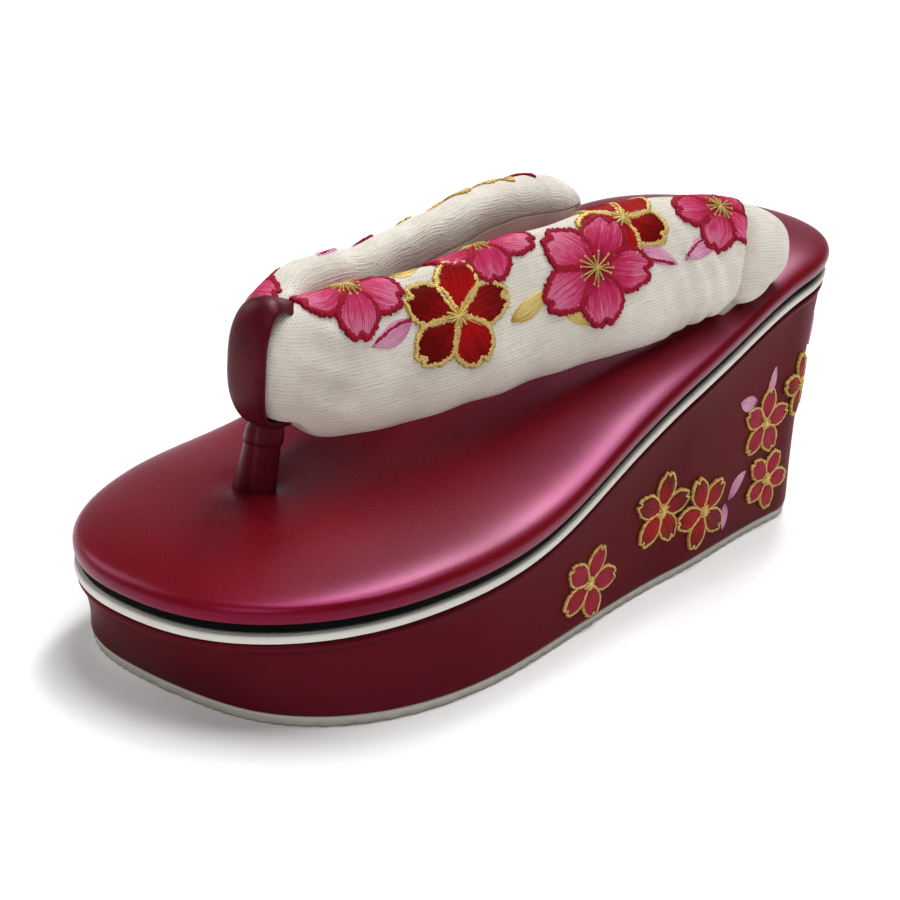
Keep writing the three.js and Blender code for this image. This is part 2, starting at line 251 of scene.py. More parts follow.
# %% Outline and wave
SOLE_LENGTH = 240.0
BALL_Y, BALL_HALF, TOE_ROUNDNESS = -53.0, 46.6, 2.3
WAIST_Y, WAIST_HALF = 26.0, 42.4
HEEL_Y, HEEL_HALF, HEEL_ROUNDNESS = 83.0, 40.3, 2.25

WAVE = {
    "y": [-120, -80, -40, 0, 40, 80, 120],
    "z": [20.3, 22.8, 26.9, 39.4, 51.9, 63.0, 69.9],
}


def along(table, column, y):
    """Smooth value of a table's column at y.

    Between two rows it is the cubic through both with each row's slope taken from its neighbours.
    """
    rows = np.asarray(table["y"], float)
    values = np.asarray(table[column], float)
    after = np.minimum(np.arange(len(rows)) + 1, len(rows) - 1)
    before = np.maximum(np.arange(len(rows)) - 1, 0)
    slopes = (values[after] - values[before]) / (rows[after] - rows[before])
    y = np.clip(y, rows[0], rows[-1])
    i = np.clip(np.searchsorted(rows, y, side="right") - 1, 0, len(rows) - 2)
    step = rows[i + 1] - rows[i]
    t = (y - rows[i]) / step
    rise = values[i] * (2 * t**3 - 3 * t**2 + 1) + values[i + 1] * (3 * t**2 - 2 * t**3)
    return rise + slopes[i] * step * (t**3 - 2 * t**2 + t) + slopes[i + 1] * step * (t**3 - t**2)


def wave_height(y):
    """Height of the middle of the white strip above the floor."""
    return along(WAVE, "z", y)


def half_width(y):
    """Half the sole's width at y: superellipse, eased waist, superellipse."""
    toe = np.clip((BALL_Y - y) / (BALL_Y + SOLE_LENGTH / 2), 0, 1)
    heel = np.clip((y - HEEL_Y) / (SOLE_LENGTH / 2 - HEEL_Y), 0, 1)
    first = np.clip((y - BALL_Y) / (WAIST_Y - BALL_Y), 0, 1)
    second = np.clip((y - WAIST_Y) / (HEEL_Y - WAIST_Y), 0, 1)
    side = BALL_HALF + (WAIST_HALF - BALL_HALF) * first**2 * (3 - 2 * first)
    side = side + (HEEL_HALF - WAIST_HALF) * second**2 * (3 - 2 * second)
    rounded = (1 - toe**TOE_ROUNDNESS) ** (1 / TOE_ROUNDNESS)
    return side * rounded * (1 - heel**HEEL_ROUNDNESS) ** (1 / HEEL_ROUNDNESS)


def outline(toe_steps=56, side_steps=84, heel_steps=44):
    """The closed plan outline from the toe tip round the outer side: points, outward normals."""
    toe_angle = np.linspace(0, np.pi / 2, toe_steps, endpoint=False)
    toe_y = BALL_Y - (BALL_Y + SOLE_LENGTH / 2) * np.cos(toe_angle) ** (2 / TOE_ROUNDNESS)
    side_y = np.linspace(BALL_Y, HEEL_Y, side_steps, endpoint=False)
    heel_angle = np.linspace(0, np.pi / 2, heel_steps + 1)
    heel_y = HEEL_Y + (SOLE_LENGTH / 2 - HEEL_Y) * np.sin(heel_angle) ** (2 / HEEL_ROUNDNESS)
    toe_x = BALL_HALF * np.sin(toe_angle) ** (2 / TOE_ROUNDNESS)
    heel_x = HEEL_HALF * np.clip(np.cos(heel_angle), 0, 1) ** (2 / HEEL_ROUNDNESS)
    x = np.concatenate([toe_x, half_width(side_y), heel_x])
    y = np.concatenate([toe_y, side_y, heel_y])
    x[0] = x[-1] = 0.0
    points = np.stack([np.concatenate([x, -x[-2:0:-1]]), np.concatenate([y, y[-2:0:-1]])], axis=1)
    ahead = np.roll(points, -1, axis=0) - np.roll(points, 1, axis=0)
    normals = np.stack([ahead[:, 1], -ahead[:, 0]], axis=1)
    normals /= np.linalg.norm(normals, axis=1, keepdims=True)
    return points, normals


OUTLINE, OUTWARD = outline()
steps = np.linalg.norm(np.roll(OUTLINE, -1, axis=0) - OUTLINE, axis=1)
AROUND = np.concatenate([[0], np.cumsum(steps)[:-1]])
print("outline points:", len(OUTLINE), "girth:", round(float(steps.sum())), "mm")


# %% [markdown]
# ## From arrays to meshes
#
# A layer of the sole is a stack of rings with a lid at each end. The lid is ruled straight across,
# between the two outline points that share a y, so it follows the wave with no pole in the middle.

# %% Grids and objects
def grid_faces(rows, columns, wrap=True):
    """Quads of a grid stored row by row, turned to face out when rows rise and columns go round."""
    row, column = np.meshgrid(np.arange(rows - 1), np.arange(columns if wrap else columns - 1),
                              indexing="ij")
    right = (column + 1) % columns
    low, high = row * columns, (row + 1) * columns
    corners = [low + column, low + right, high + right, high + column]
    return np.stack(corners, axis=-1).reshape(-1, 4)


def new_object(name, points, faces, material, uv=None):
    """A smooth mesh object from points in millimetres, its faces and a UV value for each point."""
    mesh = bpy.data.meshes.new(name)
    mesh.from_pydata((np.asarray(points) * MM).tolist(), [], [list(map(int, f)) for f in faces])
    mesh.materials.append(material)
    mesh.polygons.foreach_set("use_smooth", np.ones(len(mesh.polygons), bool))
    if uv is not None:
        corner = np.empty(len(mesh.loops), int)
        mesh.loops.foreach_get("vertex_index", corner)
        layer = mesh.uv_layers.new(name="cloth")
        layer.data.foreach_set("uv", np.asarray(uv, float)[corner].ravel())
    mesh.update()
    made = bpy.data.objects.new(name, mesh)
    bpy.context.collection.objects.link(made)
    return made


print("faces of a tube of 3 rings and 4 columns:", len(grid_faces(3, 4)))


# %% Layers of the sole
def lid(ring_start, extra_start, count, across, top):
    """Faces of a ruled lid on a ring: two tips, and strips of quads between paired points."""
    last = count // 2
    index = np.empty((last + 1, across + 1), int)
    index[:, 0] = ring_start + np.arange(last + 1)
    index[:, -1] = ring_start + (count - np.arange(last + 1)) % count
    inner = extra_start + np.arange((last - 1) * (across - 1)).reshape(last - 1, across - 1)
    index[1:-1, 1:-1] = inner
    index[0, 1:-1] = ring_start
    index[-1, 1:-1] = ring_start + last
    quads = np.stack([index[:-1, :-1], index[1:, :-1], index[1:, 1:], index[:-1, 1:]], axis=-1)
    quads = quads.reshape(-1, 4)
    faces = [list(dict.fromkeys(face)) for face in quads.tolist()]
    return faces if top else [face[::-1] for face in faces]


def layer(name, insets, levels, material, across=24):
    """A closed layer of the sole.

    insets and levels are lists, bottom to top: how far each ring lies inside the outline, and a
    function of (x, y) that gives its height.
    """
    rings = []
    for inset, level in zip(insets, levels):
        plan = OUTLINE - OUTWARD * np.broadcast_to(inset, len(OUTLINE))[:, None]
        rings.append(np.column_stack([plan, level(plan[:, 0], plan[:, 1])]))
    count = len(OUTLINE)
    last = count // 2
    share = np.linspace(0, 1, across + 1)[1:-1]
    points = [*rings]
    starts = []
    total = count * len(rings)
    for ring, level in ((rings[0], levels[0]), (rings[-1], levels[-1])):
        outer = ring[1:last, None, :2]
        inner = ring[:last:-1, None, :2]
        plan = outer + (inner - outer) * share[None, :, None]
        height = level(plan[..., 0], plan[..., 1])
        points.append(np.concatenate([plan, height[..., None]], axis=-1).reshape(-1, 3))
        starts.append(total)
        total += points[-1].shape[0]
    faces = grid_faces(len(rings), count).tolist()
    faces += lid(0, starts[0], count, across, top=False)
    faces += lid(count * (len(rings) - 1), starts[1], count, across, top=True)
    return new_object(name, np.concatenate(points), faces, material)


def above_wave(rise):
    """A level function: the wave, raised by rise millimetres."""
    return lambda x, y: wave_height(y) + rise


def flat_at(height):
    """A level function: one height everywhere."""
    return lambda x, y: np.full(np.shape(y), float(height))


wave_ends = above_wave(0)(0, np.array([-1, 1]) * SOLE_LENGTH / 2)
print("wave at the toe and the heel:", wave_ends, "mm")

# %% [markdown]
# ## Coated leather
#
# The wedge and the footbed are polyurethane coated leather: a soft fabric with a smooth plastic
# skin. The wedge's skin is a satin burgundy with some metallic pigment, so its colour holds at a
# glancing angle, where a plain plastic would turn grey. The footbed's has pearl pigment, thin mica
# flakes that turn the highlight pink while the body stays deep red. A tinted gloss gives that pink,
# and a facing ramp paints a little more pink sheen into the colour at the rims. The pressed grain
# is about half a millimetre wide, and only bends the light.


# %% Coated leather materials
def leather_height(material, place, grain_mm, dents_mm):
    """Height of a pressed grain: smooth cells at grain_mm, under wider soft dents at dents_mm."""
    cells = add(material, "ShaderNodeTexVoronoi", {"feature": "SMOOTH_F1"},
                Vector=place, Scale=1 / grain_mm, Smoothness=0.6)
    dents = add(material, "ShaderNodeTexNoise", None, Vector=place, Scale=1 / dents_mm, Detail=3.0)
    weighted = maths(material, "MULTIPLY", dents.outputs["Fac"], 1.6)
    return maths(material, "ADD", cells.outputs["Distance"], weighted)


def wedge_leather():
    """Burgundy polyurethane leather: satin, faintly clouded, with metallic pigment in its skin."""
    material, output = new_material("satin_coated_leather_burgundy")
    place = millimetres(material)
    cloud = add(material, "ShaderNodeTexNoise", None, Vector=place, Scale=1 / 45, Detail=4.0)
    colour = ramp(material, cloud.outputs["Fac"],
                  [(0.3, linear("#4c121b")), (0.55, linear("#54151e")), (0.8, linear("#5c1821"))])
    gloss = ramp(material, cloud.outputs["Fac"],
                 [(0.3, grey(0.36)), (0.7, grey(0.44))])
    height = leather_height(material, place, 0.55, 7.0)
    bump = add(material, "ShaderNodeBump", None, Strength=0.12, Distance=0.00008, Height=height)
    return finish_material(material, output, Base_Color=colour, Roughness=gloss, Metallic=0.45,
                           Specular_IOR_Level=0.05, Specular_Tint=linear("#c24a63"),
                           Normal=bump.outputs["Normal"])


def pad_leather():
    """Pearl red polyurethane leather: deep red with a pink gloss, and a painted pink sheen at its
    rims.
    """
    material, output = new_material("pearl_coated_leather_red")
    place = millimetres(material)
    facing = add(material, "ShaderNodeLayerWeight", None, Blend=0.35)
    cloud = add(material, "ShaderNodeTexNoise", None, Vector=place, Scale=1 / 30, Detail=4.0)
    body = ramp(material, cloud.outputs["Fac"],
                [(0.3, linear("#62080e")), (0.7, linear("#720b14"))])
    # Painted pink sheen for the pearl pigment: a facing ramp mixes pink into the colour at grazing
    # angles.
    pearl_rim_sheen = ramp(material, facing.outputs["Facing"],
                 [(0.35, grey(0.0)), (0.95, grey(0.2))])
    colour = blend(material, pearl_rim_sheen, body, linear("#a01c42"))
    flakes = add(material, "ShaderNodeTexVoronoi", None, Vector=place, Scale=1 / 0.28)
    sparkle = ramp(material, flakes.outputs["Distance"],
                   [(0.2, grey(0.25)), (0.7, grey(0.33))])
    height = leather_height(material, place, 0.5, 9.0)
    bump = add(material, "ShaderNodeBump", None, Strength=0.1, Distance=0.00008, Height=height)
    return finish_material(material, output, Base_Color=colour, Metallic=0.12, Roughness=sparkle,
                           Specular_IOR_Level=0.5, Specular_Tint=linear("#e474d4"),
                           Normal=bump.outputs["Normal"])


WEDGE_LEATHER = wedge_leather()
PAD_LEATHER = pad_leather()
print("coated leathers:", WEDGE_LEATHER.name, PAD_LEATHER.name)

# %% [markdown]
# ## Wedge
#
# The core is foam, wrapped in one band of leather whose wall leans in under the toe and heel and
# hollows a little at the waist. The band is pulled over the lower edge, so its foot is rounded, and
# it swells into a soft bead just under the white strip. Both edges are short tables of rings.

# %% Build the wedge
OUTSOLE_THICKNESS = 2.6
STRIP_HALF = 0.85
GAP = 0.45
FOOT_INSET = {"toe": 9.3, "side": -0.8, "heel": 10.4}
FOOT_CORNER = {"toe": 2, "heel": 1.15}
WEDGE_TOP_INSET = 0.6
WAIST_HOLLOW = 0.9
SKIN_GAP = 0.02
WALL_FOOT = {"share": [0, 0, 0.004, 0.012], "inset": [3.0, 0.9, 0.3, 0.05]}
WALL_RINGS = 24
WALL_REACH = (0.03, 0.77)
BEAD = {
    "below": [3.0, 2.4, 2.0, 1.6, 1.2, 0.8, 0.45, 0.2, 0.0, 0.0],
    "inset": [0.0, -0.12, -0.32, -0.5, -0.56, -0.45, -0.2, 0.1, 0.6, 2.4],
}

toward_end = OUTWARD[:, 1] ** 2
at_toe = OUTWARD[:, 1] < 0
end_inset = np.where(at_toe, FOOT_INSET["toe"], FOOT_INSET["heel"])
corner = np.abs(OUTWARD[:, 1]) ** np.where(at_toe, FOOT_CORNER["toe"], FOOT_CORNER["heel"])
foot_inset = FOOT_INSET["side"] + (end_inset - FOOT_INSET["side"]) * corner


def wall_inset(t):
    """Inset of the wedge wall at height share t: a straight lean plus a hollow at the sides."""
    lean = foot_inset + (WEDGE_TOP_INSET - foot_inset) * t
    return lean + WAIST_HOLLOW * np.sin(np.pi * t) * (1 - toward_end)


def wall_level(t):
    """Height of the wedge wall at share t, between the outsole and the underside of the strip."""
    low = OUTSOLE_THICKNESS + SKIN_GAP
    return lambda x, y: low + (wave_height(y) - STRIP_HALF - GAP - low) * t


wall_shares = [*WALL_FOOT["share"], *np.linspace(*WALL_REACH, WALL_RINGS)]
wall_extra = [*WALL_FOOT["inset"], *np.zeros(WALL_RINGS)]
wall_top = wave_height(OUTLINE[:, 1]) - STRIP_HALF - GAP
wedge_insets = [wall_inset(t) + e for t, e in zip(wall_shares, wall_extra)]
wedge_insets += [wall_inset(1 - d / (wall_top - OUTSOLE_THICKNESS)) + b
                 for d, b in zip(BEAD["below"], BEAD["inset"])]
wedge_levels = [wall_level(t) for t in wall_shares]
wedge_levels += [above_wave(-STRIP_HALF - GAP - d) for d in BEAD["below"]]
wedge = layer("wedge_leather_wrap", wedge_insets, wedge_levels, WEDGE_LEATHER)
print("wedge faces:", len(wedge.data.polygons))

# %% [markdown]
# ## White strip and black board
#
# A white plastic sheet shows as a thin line all round the sole, and above it the black board's
# polished edge, set back so that it reads as a shadow line. Both edges are rounded by a few rings.


# %% Strip and board
def plastic(name, colour, roughness, scuff_mm, shine=0.5):
    """Moulded plastic with a faint waviness and rubbed patches in its gloss."""
    material, output = new_material(name)
    place = millimetres(material)
    rub = add(material, "ShaderNodeTexNoise", None, Vector=place, Scale=1 / scuff_mm, Detail=5.0)
    gloss = ramp(material, rub.outputs["Fac"],
                 [(0.35, grey(roughness)), (0.75, grey(roughness * 1.5))])
    tint = ramp(material, rub.outputs["Fac"],
                [(0.3, linear(colour[0])), (0.7, linear(colour[1]))])
    bump = add(material, "ShaderNodeBump", None, Strength=0.08, Distance=0.0001,
               Height=rub.outputs["Fac"])
    return finish_material(material, output, Base_Color=tint, Roughness=gloss,
                           Specular_IOR_Level=shine, Normal=bump.outputs["Normal"])


WHITE_PLASTIC = plastic("moulded_vinyl_white", ("#cfccc2", "#dad7ce"), 0.36, 9.0)
BLACK_PLASTIC = plastic("polished_board_black", ("#020202", "#050505"), 0.6, 12.0, 0.05)

STRIP_PROUD = 0.2
STRIP_ROUND = 0.35
STRIP_TUCKED = 2.5
STRIP_FULLNESS = 0.6
BOARD_INSET = 0.6
BOARD_THICKNESS = 2.7
BOARD_FOOT = STRIP_HALF + GAP
BOARD_EDGE = {
    "share": [0, 0.0, 0.08, 0.2, 0.5, 0.8, 0.94, 1.0, 1.0],
    "inset": [3.0, 0.5, 0.12, 0.0, 0.0, 0.0, 0.12, 0.5, 3.0],
}

turn = np.linspace(-np.pi / 2, np.pi / 2, 11)
edge_round = STRIP_ROUND - (STRIP_PROUD + STRIP_ROUND) * np.cos(turn) ** STRIP_FULLNESS
edge_insets = [STRIP_TUCKED, *edge_round, STRIP_TUCKED]
edge_rises = [-STRIP_HALF, *(STRIP_HALF * np.sin(turn)), STRIP_HALF]
strip = layer("white_edge_strip", edge_insets, [above_wave(r) for r in edge_rises], WHITE_PLASTIC)
board = layer("black_board", [BOARD_INSET + inset for inset in BOARD_EDGE["inset"]],
              [above_wave(BOARD_FOOT + s * BOARD_THICKNESS) for s in BOARD_EDGE["share"]],
              BLACK_PLASTIC)
print("strip and board:", len(strip.data.polygons), len(board.data.polygons))

# %% [markdown]
# ## Outsole
#
# The outsole is a pale rubber sheet with a flat underside, moulded with fine upright ribs round its
# lower edge. The ribs are a cosine round the girth, deepest at the floor and gone at the top of the
# sheet. A whole number of them goes round, so the last meets the first.

# %% Build the outsole
RIB_PITCH = 2.4
RIB_DEPTH = 0.35
SOLE_EDGE = {
    "share": [0.0, 0.0, 0.1, 0.25, 0.45, 0.62, 0.72, 0.95, 1.0],
    "inset": [2.5, 0.9, 0.62, 0.5, 0.5, 0.42, 0.3, 0.3, 0.6],
    "rib": [0.6, 1.0, 1.0, 1.0, 1.0, 0.5, 0.0, 0.0, 0.0],
}


def moulded_rubber():
    """Pale grey rubber: matt, faintly mottled, and darker towards the floor."""
    material, output = new_material("moulded_rubber_pale_grey")
    place = millimetres(material)
    mottle = add(material, "ShaderNodeTexNoise", None, Vector=place, Scale=1 / 3, Detail=6.0)
    height = add(material, "ShaderNodeSeparateXYZ", None, Vector=place)
    # The colour darkens towards the floor and lightens up the sheet, with the mottle added.
    height_share = maths(material, "MULTIPLY", height.outputs["Z"], 1 / OUTSOLE_THICKNESS, clamp=True)
    mixed = maths(material, "ADD", height_share, maths(material, "MULTIPLY", mottle.outputs["Fac"], 0.5))
    colour = ramp(material, mixed, [(0.2, linear("#7d7870")), (0.6, linear("#a9a59b")),
                                    (1.0, linear("#b9b5ab"))])
    bump = add(material, "ShaderNodeBump", None, Strength=0.25, Distance=0.0001,
               Height=mottle.outputs["Fac"])
    return finish_material(material, output, Base_Color=colour, Roughness=0.78,
                           Specular_IOR_Level=0.35, Normal=bump.outputs["Normal"])


RUBBER = moulded_rubber()
rib_count = round(float(steps.sum()) / RIB_PITCH)
rib_wave = 0.5 - 0.5 * np.cos(AROUND / steps.sum() * rib_count * 2 * np.pi)
outsole = layer("outsole_rubber", [foot_inset + inset + RIB_DEPTH * rib * rib_wave
                                   for inset, rib in zip(SOLE_EDGE["inset"], SOLE_EDGE["rib"])],
                [flat_at(s * OUTSOLE_THICKNESS) for s in SOLE_EDGE["share"]], RUBBER)
print("side ribs:", rib_count)

# %% [markdown]
# ## Footbed pad
#
# A foam cushion wrapped in the pearl leather, with a rolled edge that stands a little over the
# board, so that the gap between them reads as a dark line. The profile of the roll is a short table
# from the underside, out, round and up onto the crown. Where the thong's stem goes in, the skin is
# drawn down into a soft dimple, full on the crown and quickly gone down the roll.

# %% Build the footbed pad
PAD_GAP = 0.3
PAD_FOOT = BOARD_FOOT + BOARD_THICKNESS + PAD_GAP
PAD_THICKNESS = 6.0
PAD_OVERHANG = 0.5
PAD_ROLL = {
    "y": [0.0, 0.0, -0.14, 0.06, 0.32, 0.54, 0.74, 0.89, 1.0],
    "inset": [3.4, 0.45, -0.1, -PAD_OVERHANG, -0.25, 1.5, 7.0, 16.0, 29.0],
}
PAD_TOP_ROW = 4
PAD_TUCKED = 6.0
STEM_FOOT = np.array([-12.2, -72.6])
STEM_DIMPLE = {"radius": 9.0, "depth": 1.5, "steepness": 2.2}


def pad_share(inset):
    """Height share of the pad's upper skin at an inset from the outline."""
    table = {"y": PAD_ROLL["inset"][PAD_TOP_ROW:], "share": PAD_ROLL["y"][PAD_TOP_ROW:]}
    return along(table, "share", inset)


def dimple(x, y):
    """How far the skin sinks round the stem: a bell in plan, deepest at the stem."""
    away = np.hypot(x - STEM_FOOT[0], y - STEM_FOOT[1]) / STEM_DIMPLE["radius"]
    return -STEM_DIMPLE["depth"] * np.exp(-STEM_DIMPLE["steepness"] * away**2)


def pad_top(x, y):
    """Height of the pad's upper skin at a plan point, from its distance to the side."""
    inset = half_width(y) - np.abs(x)
    return wave_height(y) + PAD_FOOT + PAD_THICKNESS * pad_share(inset) + dimple(x, y)


roll_rows = len(PAD_ROLL["y"])
roll = np.linspace(0, roll_rows - 1, 6 * (roll_rows - 1) + 1)
roll_table = {"y": np.arange(roll_rows), "share": PAD_ROLL["y"], "inset": PAD_ROLL["inset"]}
pad_insets = [PAD_TUCKED, *along(roll_table, "inset", roll)]
pad_levels = [0.0, *along(roll_table, "share", roll)]
pad = layer("footbed_pad_cover", pad_insets,
            [lambda x, y, s=s: wave_height(y) + PAD_FOOT + PAD_THICKNESS * s
             + dimple(x, y) * max(s, 0) ** 4 for s in pad_levels],
            PAD_LEATHER, across=40)
print("pad faces:", len(pad.data.polygons), "top at heel:", round(float(pad_top(0, 110)), 1), "mm")

# %% [markdown]
# ## The strap's shape
#
# The hanao is a soft tube of cotton over wadding, flattened to a band that leans in over the foot.
# Each leg is a section carried from the front to the rear: a short table gives the section's place,
# height, thickness and lean. The section is a superellipse, fuller than an ellipse, and both ends
# close in a round. Small folds are added along the surface's own outward direction.

# %% Strap tables
STRAP_FRONT = -82.0
FRONT_ROUNDING, REAR_ROUNDING = 13.0, 19.0
SECTION_ROUNDNESS = 2.5

OUTER_LEG = {
    "y": [-82, -73, -62, -37, -11, 18, 34, 47, 58, 67, 76],
    "x": [-6.5, -5.0, -1.6, 5.2, 13.5, 22.3, 26.9, 30.1, 32.3, 33.2, 33.2],
    "z": [63.2, 62.0, 61.2, 63.5, 69.1, 74.2, 76.8, 78.3, 78.0, 77.8, 77.6],
    "width": [26, 28.5, 31.5, 33, 33.5, 34.8, 32.3, 27.6, 23.5, 20, 16],
    "thickness": [16, 14.5, 12.5, 12.5, 13, 13.5, 14, 15, 16.5, 17, 17],
    "lean": [0, 0, 10, 17, 19, 22, 24, 25, 24, 20, 14],
}
INNER_LEG = {
    "y": [-82, -73, -62, -37, -11, 18, 34, 47, 60, 70, 79],
    "x": [-6.5, -8.0, -11.4, -16.6, -22.2, -27.2, -30.0, -32.0, -33.4, -33.6, -33.2],
    "z": [63.6, 63.4, 65.4, 67.0, 69.2, 73.4, 75.0, 75.4, 75.4, 76.0, 76.4],
    "width": [25, 26, 31, 33, 32, 29, 26, 23.5, 20, 17, 14],
    "thickness": [16, 14.5, 12.5, 12.5, 13, 13.5, 14, 15, 16.5, 17, 17],
    "lean": [0, 0, 10, 17, 19, 22, 24, 25, 24, 20, 14],
}
LEGS = {"outer": (OUTER_LEG, 1.0), "inner": (INNER_LEG, -1.0)}
print("leg lengths in y:", [table["y"][-1] - STRAP_FRONT for table, _ in LEGS.values()], "mm")

# %% [markdown]
# ## Folds in the cloth
#
# Three things mark the cover: the tuck where each leg is drawn down to its hole, a crease that runs
# up and back from that hole; shallow drag lines that fan out of it; and a slow unevenness of the
# wadding. Each is a sine or a bell added along the surface's outward direction, which is quicker
# and easier to place than a cloth simulation. The lining lies in a shallow step on the inner side,
# so its seam shows as a real edge.


# %% Fold heights
def bell(value, middle, spread):
    """A bell curve: 1 at the middle, fading over spread."""
    return np.exp(-(((value - middle) / spread) ** 2))


def ease(value, low, high):
    """0 below low, 1 above high and a smooth S between."""
    t = np.clip((value - low) / (high - low), 0, 1)
    return t * t * (3 - 2 * t)


TUCK = {"y": 47.5, "slant": 0.34, "half_band": 14, "depth": 4.4, "spread": 1.7}
LIP = {"height": 0.7, "at": -4.4, "spread": 3.0}
CUFF = {"height": 1.5, "at": 6.0, "spread": 4.6}
FAN = {"height": 0.45, "along": 1.15, "up": 3.2, "ahead": 10, "spread": 11}
DRAG = {"height": 0.2, "along": 0.42, "up": 2.1}
WADDING = {"height": 0.22, "along": 0.17, "start": 1.3, "up": 2.4}
LUMPS = {"height": 0.14, "along": 0.31, "up": -1.9}
GATHER = {"height": 0.3, "along": 0.35, "up": 11, "y": -66, "spread": 8}
SEAM = {"low": -0.78, "high": 0.52, "step": 0.5, "edge": 0.05, "turn": (0.1, 0.24)}


def ripple(fold, along_band, up):
    """A sine whose phase grows by its rates, in radians, per mm along the band and with up."""
    return fold["height"] * np.sin(fold["along"] * along_band + fold["up"] * up)


def fold_height(y, up, out):
    """Height of the folds above the smooth section.

    up runs from -1 at the band's lower edge to 1 at its crest, and out from 1 on the face that
    shows to -1 on the lining. The tuck is a sunk bell with a raised bell on each side of it, the
    lip and the cuff. The fan, the drag lines, the wadding and the gathers at the toe band are
    sines, and the local ones are faded out beyond the stretch where they belong.
    """
    crease = y - (TUCK["y"] + TUCK["slant"] * TUCK["half_band"] * (up + 1))
    fade = ease(-up, -0.85, 0.3) * ease(out, -0.9, 0.3)
    tuck = -TUCK["depth"] * bell(crease, 0, TUCK["spread"]) * fade
    lip = LIP["height"] * bell(crease, LIP["at"], LIP["spread"]) * fade
    lip = lip + CUFF["height"] * bell(crease, CUFF["at"], CUFF["spread"]) * fade
    fan = ripple(FAN, y - TUCK["y"], up) * bell(y, TUCK["y"] - FAN["ahead"], FAN["spread"]) * fade
    drag = ripple(DRAG, y, up) * ease(-up, -0.1, 0.8) * ease(out, -0.4, 0.5)
    wadding = WADDING["height"] * np.sin(WADDING["along"] * y + WADDING["start"])
    wadding = wadding * np.cos(WADDING["up"] * up) + ripple(LUMPS, y, up)
    front = ripple(GATHER, y, up) * bell(y, GATHER["y"], GATHER["spread"]) * ease(out, -0.2, 0.6)
    return tuck + lip + fan + drag + wadding + front


def lining_step(up, out):
    """How far the surface sinks where the lining lies, between its two seams."""
    above_low = ease(up, SEAM["low"], SEAM["low"] + SEAM["edge"])
    below_high = 1 - ease(up, SEAM["high"] - SEAM["edge"], SEAM["high"])
    return ease(-out, *SEAM["turn"]) * above_low * below_high


middle_y = np.linspace(STRAP_FRONT, OUTER_LEG["y"][-1], 200)
print("deepest fold:", round(float(fold_height(middle_y, -0.9, 0.9).min()), 2), "mm")


# %% One leg's surface
END_ROUNDNESS = 2.2
LOBE = {"y": -66.0, "spread": 14.0, "rise": 1.8, "swell": 2.0}
BAND = {"x": -6.5, "y": -72.2, "z": 64.2, "depth": 10.6, "height": 14.7, "roundness": 2.7,
        "width": 10.5}
BAND_THICKNESS = 1.5
BAND_ROOM = 0.5
BAND_PULL = {"inside": 0.2, "beside": 2.0, "behind": (-2.0, 7.0)}
REST = {"behind_y": 30, "gap": 0.25}


def leg_grid(leg, rows=230, columns=120):
    """Points of one leg on a grid: rows from front to rear, columns round the section.

    Column 0 is the middle of the inner face, and columns rise over the crest to the outer face.
    Each point is the section's middle, plus the rounded band turned by its lean, plus the folds.
    """
    table, side = LEGS[leg]
    t = np.linspace(0, 1, rows + 2)[1:-1]
    rear = table["y"][-1]
    y = STRAP_FRONT + (rear - STRAP_FRONT) * (t + (1 - np.cos(np.pi * t)) / 2) / 2
    near_front = np.clip(1 - (y - STRAP_FRONT) / FRONT_ROUNDING, 0, 1)
    near_rear = np.clip(1 - (rear - y) / REAR_ROUNDING, 0, 1)
    shrink = (1 - np.maximum(near_front, near_rear) ** END_ROUNDNESS) ** (1 / END_ROUNDNESS)
    angle = np.linspace(-np.pi, np.pi, columns, endpoint=False)
    power = 2 / SECTION_ROUNDNESS
    out = np.sign(np.cos(angle)) * np.abs(np.cos(angle)) ** power
    up = -np.sign(np.sin(angle)) * np.abs(np.sin(angle)) ** power
    out_normal = np.sign(np.cos(angle)) * np.abs(np.cos(angle)) ** (2 - power)
    up_normal = -np.sign(np.sin(angle)) * np.abs(np.sin(angle)) ** (2 - power)
    half = along(table, "width", y)[:, None] / 2 * shrink[:, None]
    thick = along(table, "thickness", y)[:, None] / 2 * shrink[:, None]
    normal = np.stack([out_normal[None] * half, up_normal[None] * thick])
    normal /= np.linalg.norm(normal, axis=0) + 1e-9
    fold = fold_height(y[:, None], up[None], out[None]) * ease(shrink, 0.15, 0.7)[:, None]
    fold = fold - SEAM["step"] * lining_step(up, out)[None] * ease(shrink, 0.5, 0.95)[:, None]
    across = out[None] * thick + normal[0] * fold
    rise = up[None] * half + normal[1] * fold
    lean = np.radians(along(table, "lean", y))[:, None] * side
    cross = side * across
    x = along(table, "x", y)[:, None] + cross * np.cos(lean) - rise * np.sin(lean)
    z = along(table, "z", y)[:, None] + cross * np.sin(lean) + rise * np.cos(lean)
    if side < 0:
        z = z + LOBE["rise"] * bell(y[:, None], LOBE["y"], LOBE["spread"]) * ease(up, -0.9, 0.9)
        x = x - LOBE["swell"] * bell(y[:, None], LOBE["y"], LOBE["spread"]) * ease(up, -1.0, 1.0)
    points = np.stack([x, np.broadcast_to(y[:, None], x.shape), z], axis=-1)
    return rest_on_pad(under_band(points)), up, out


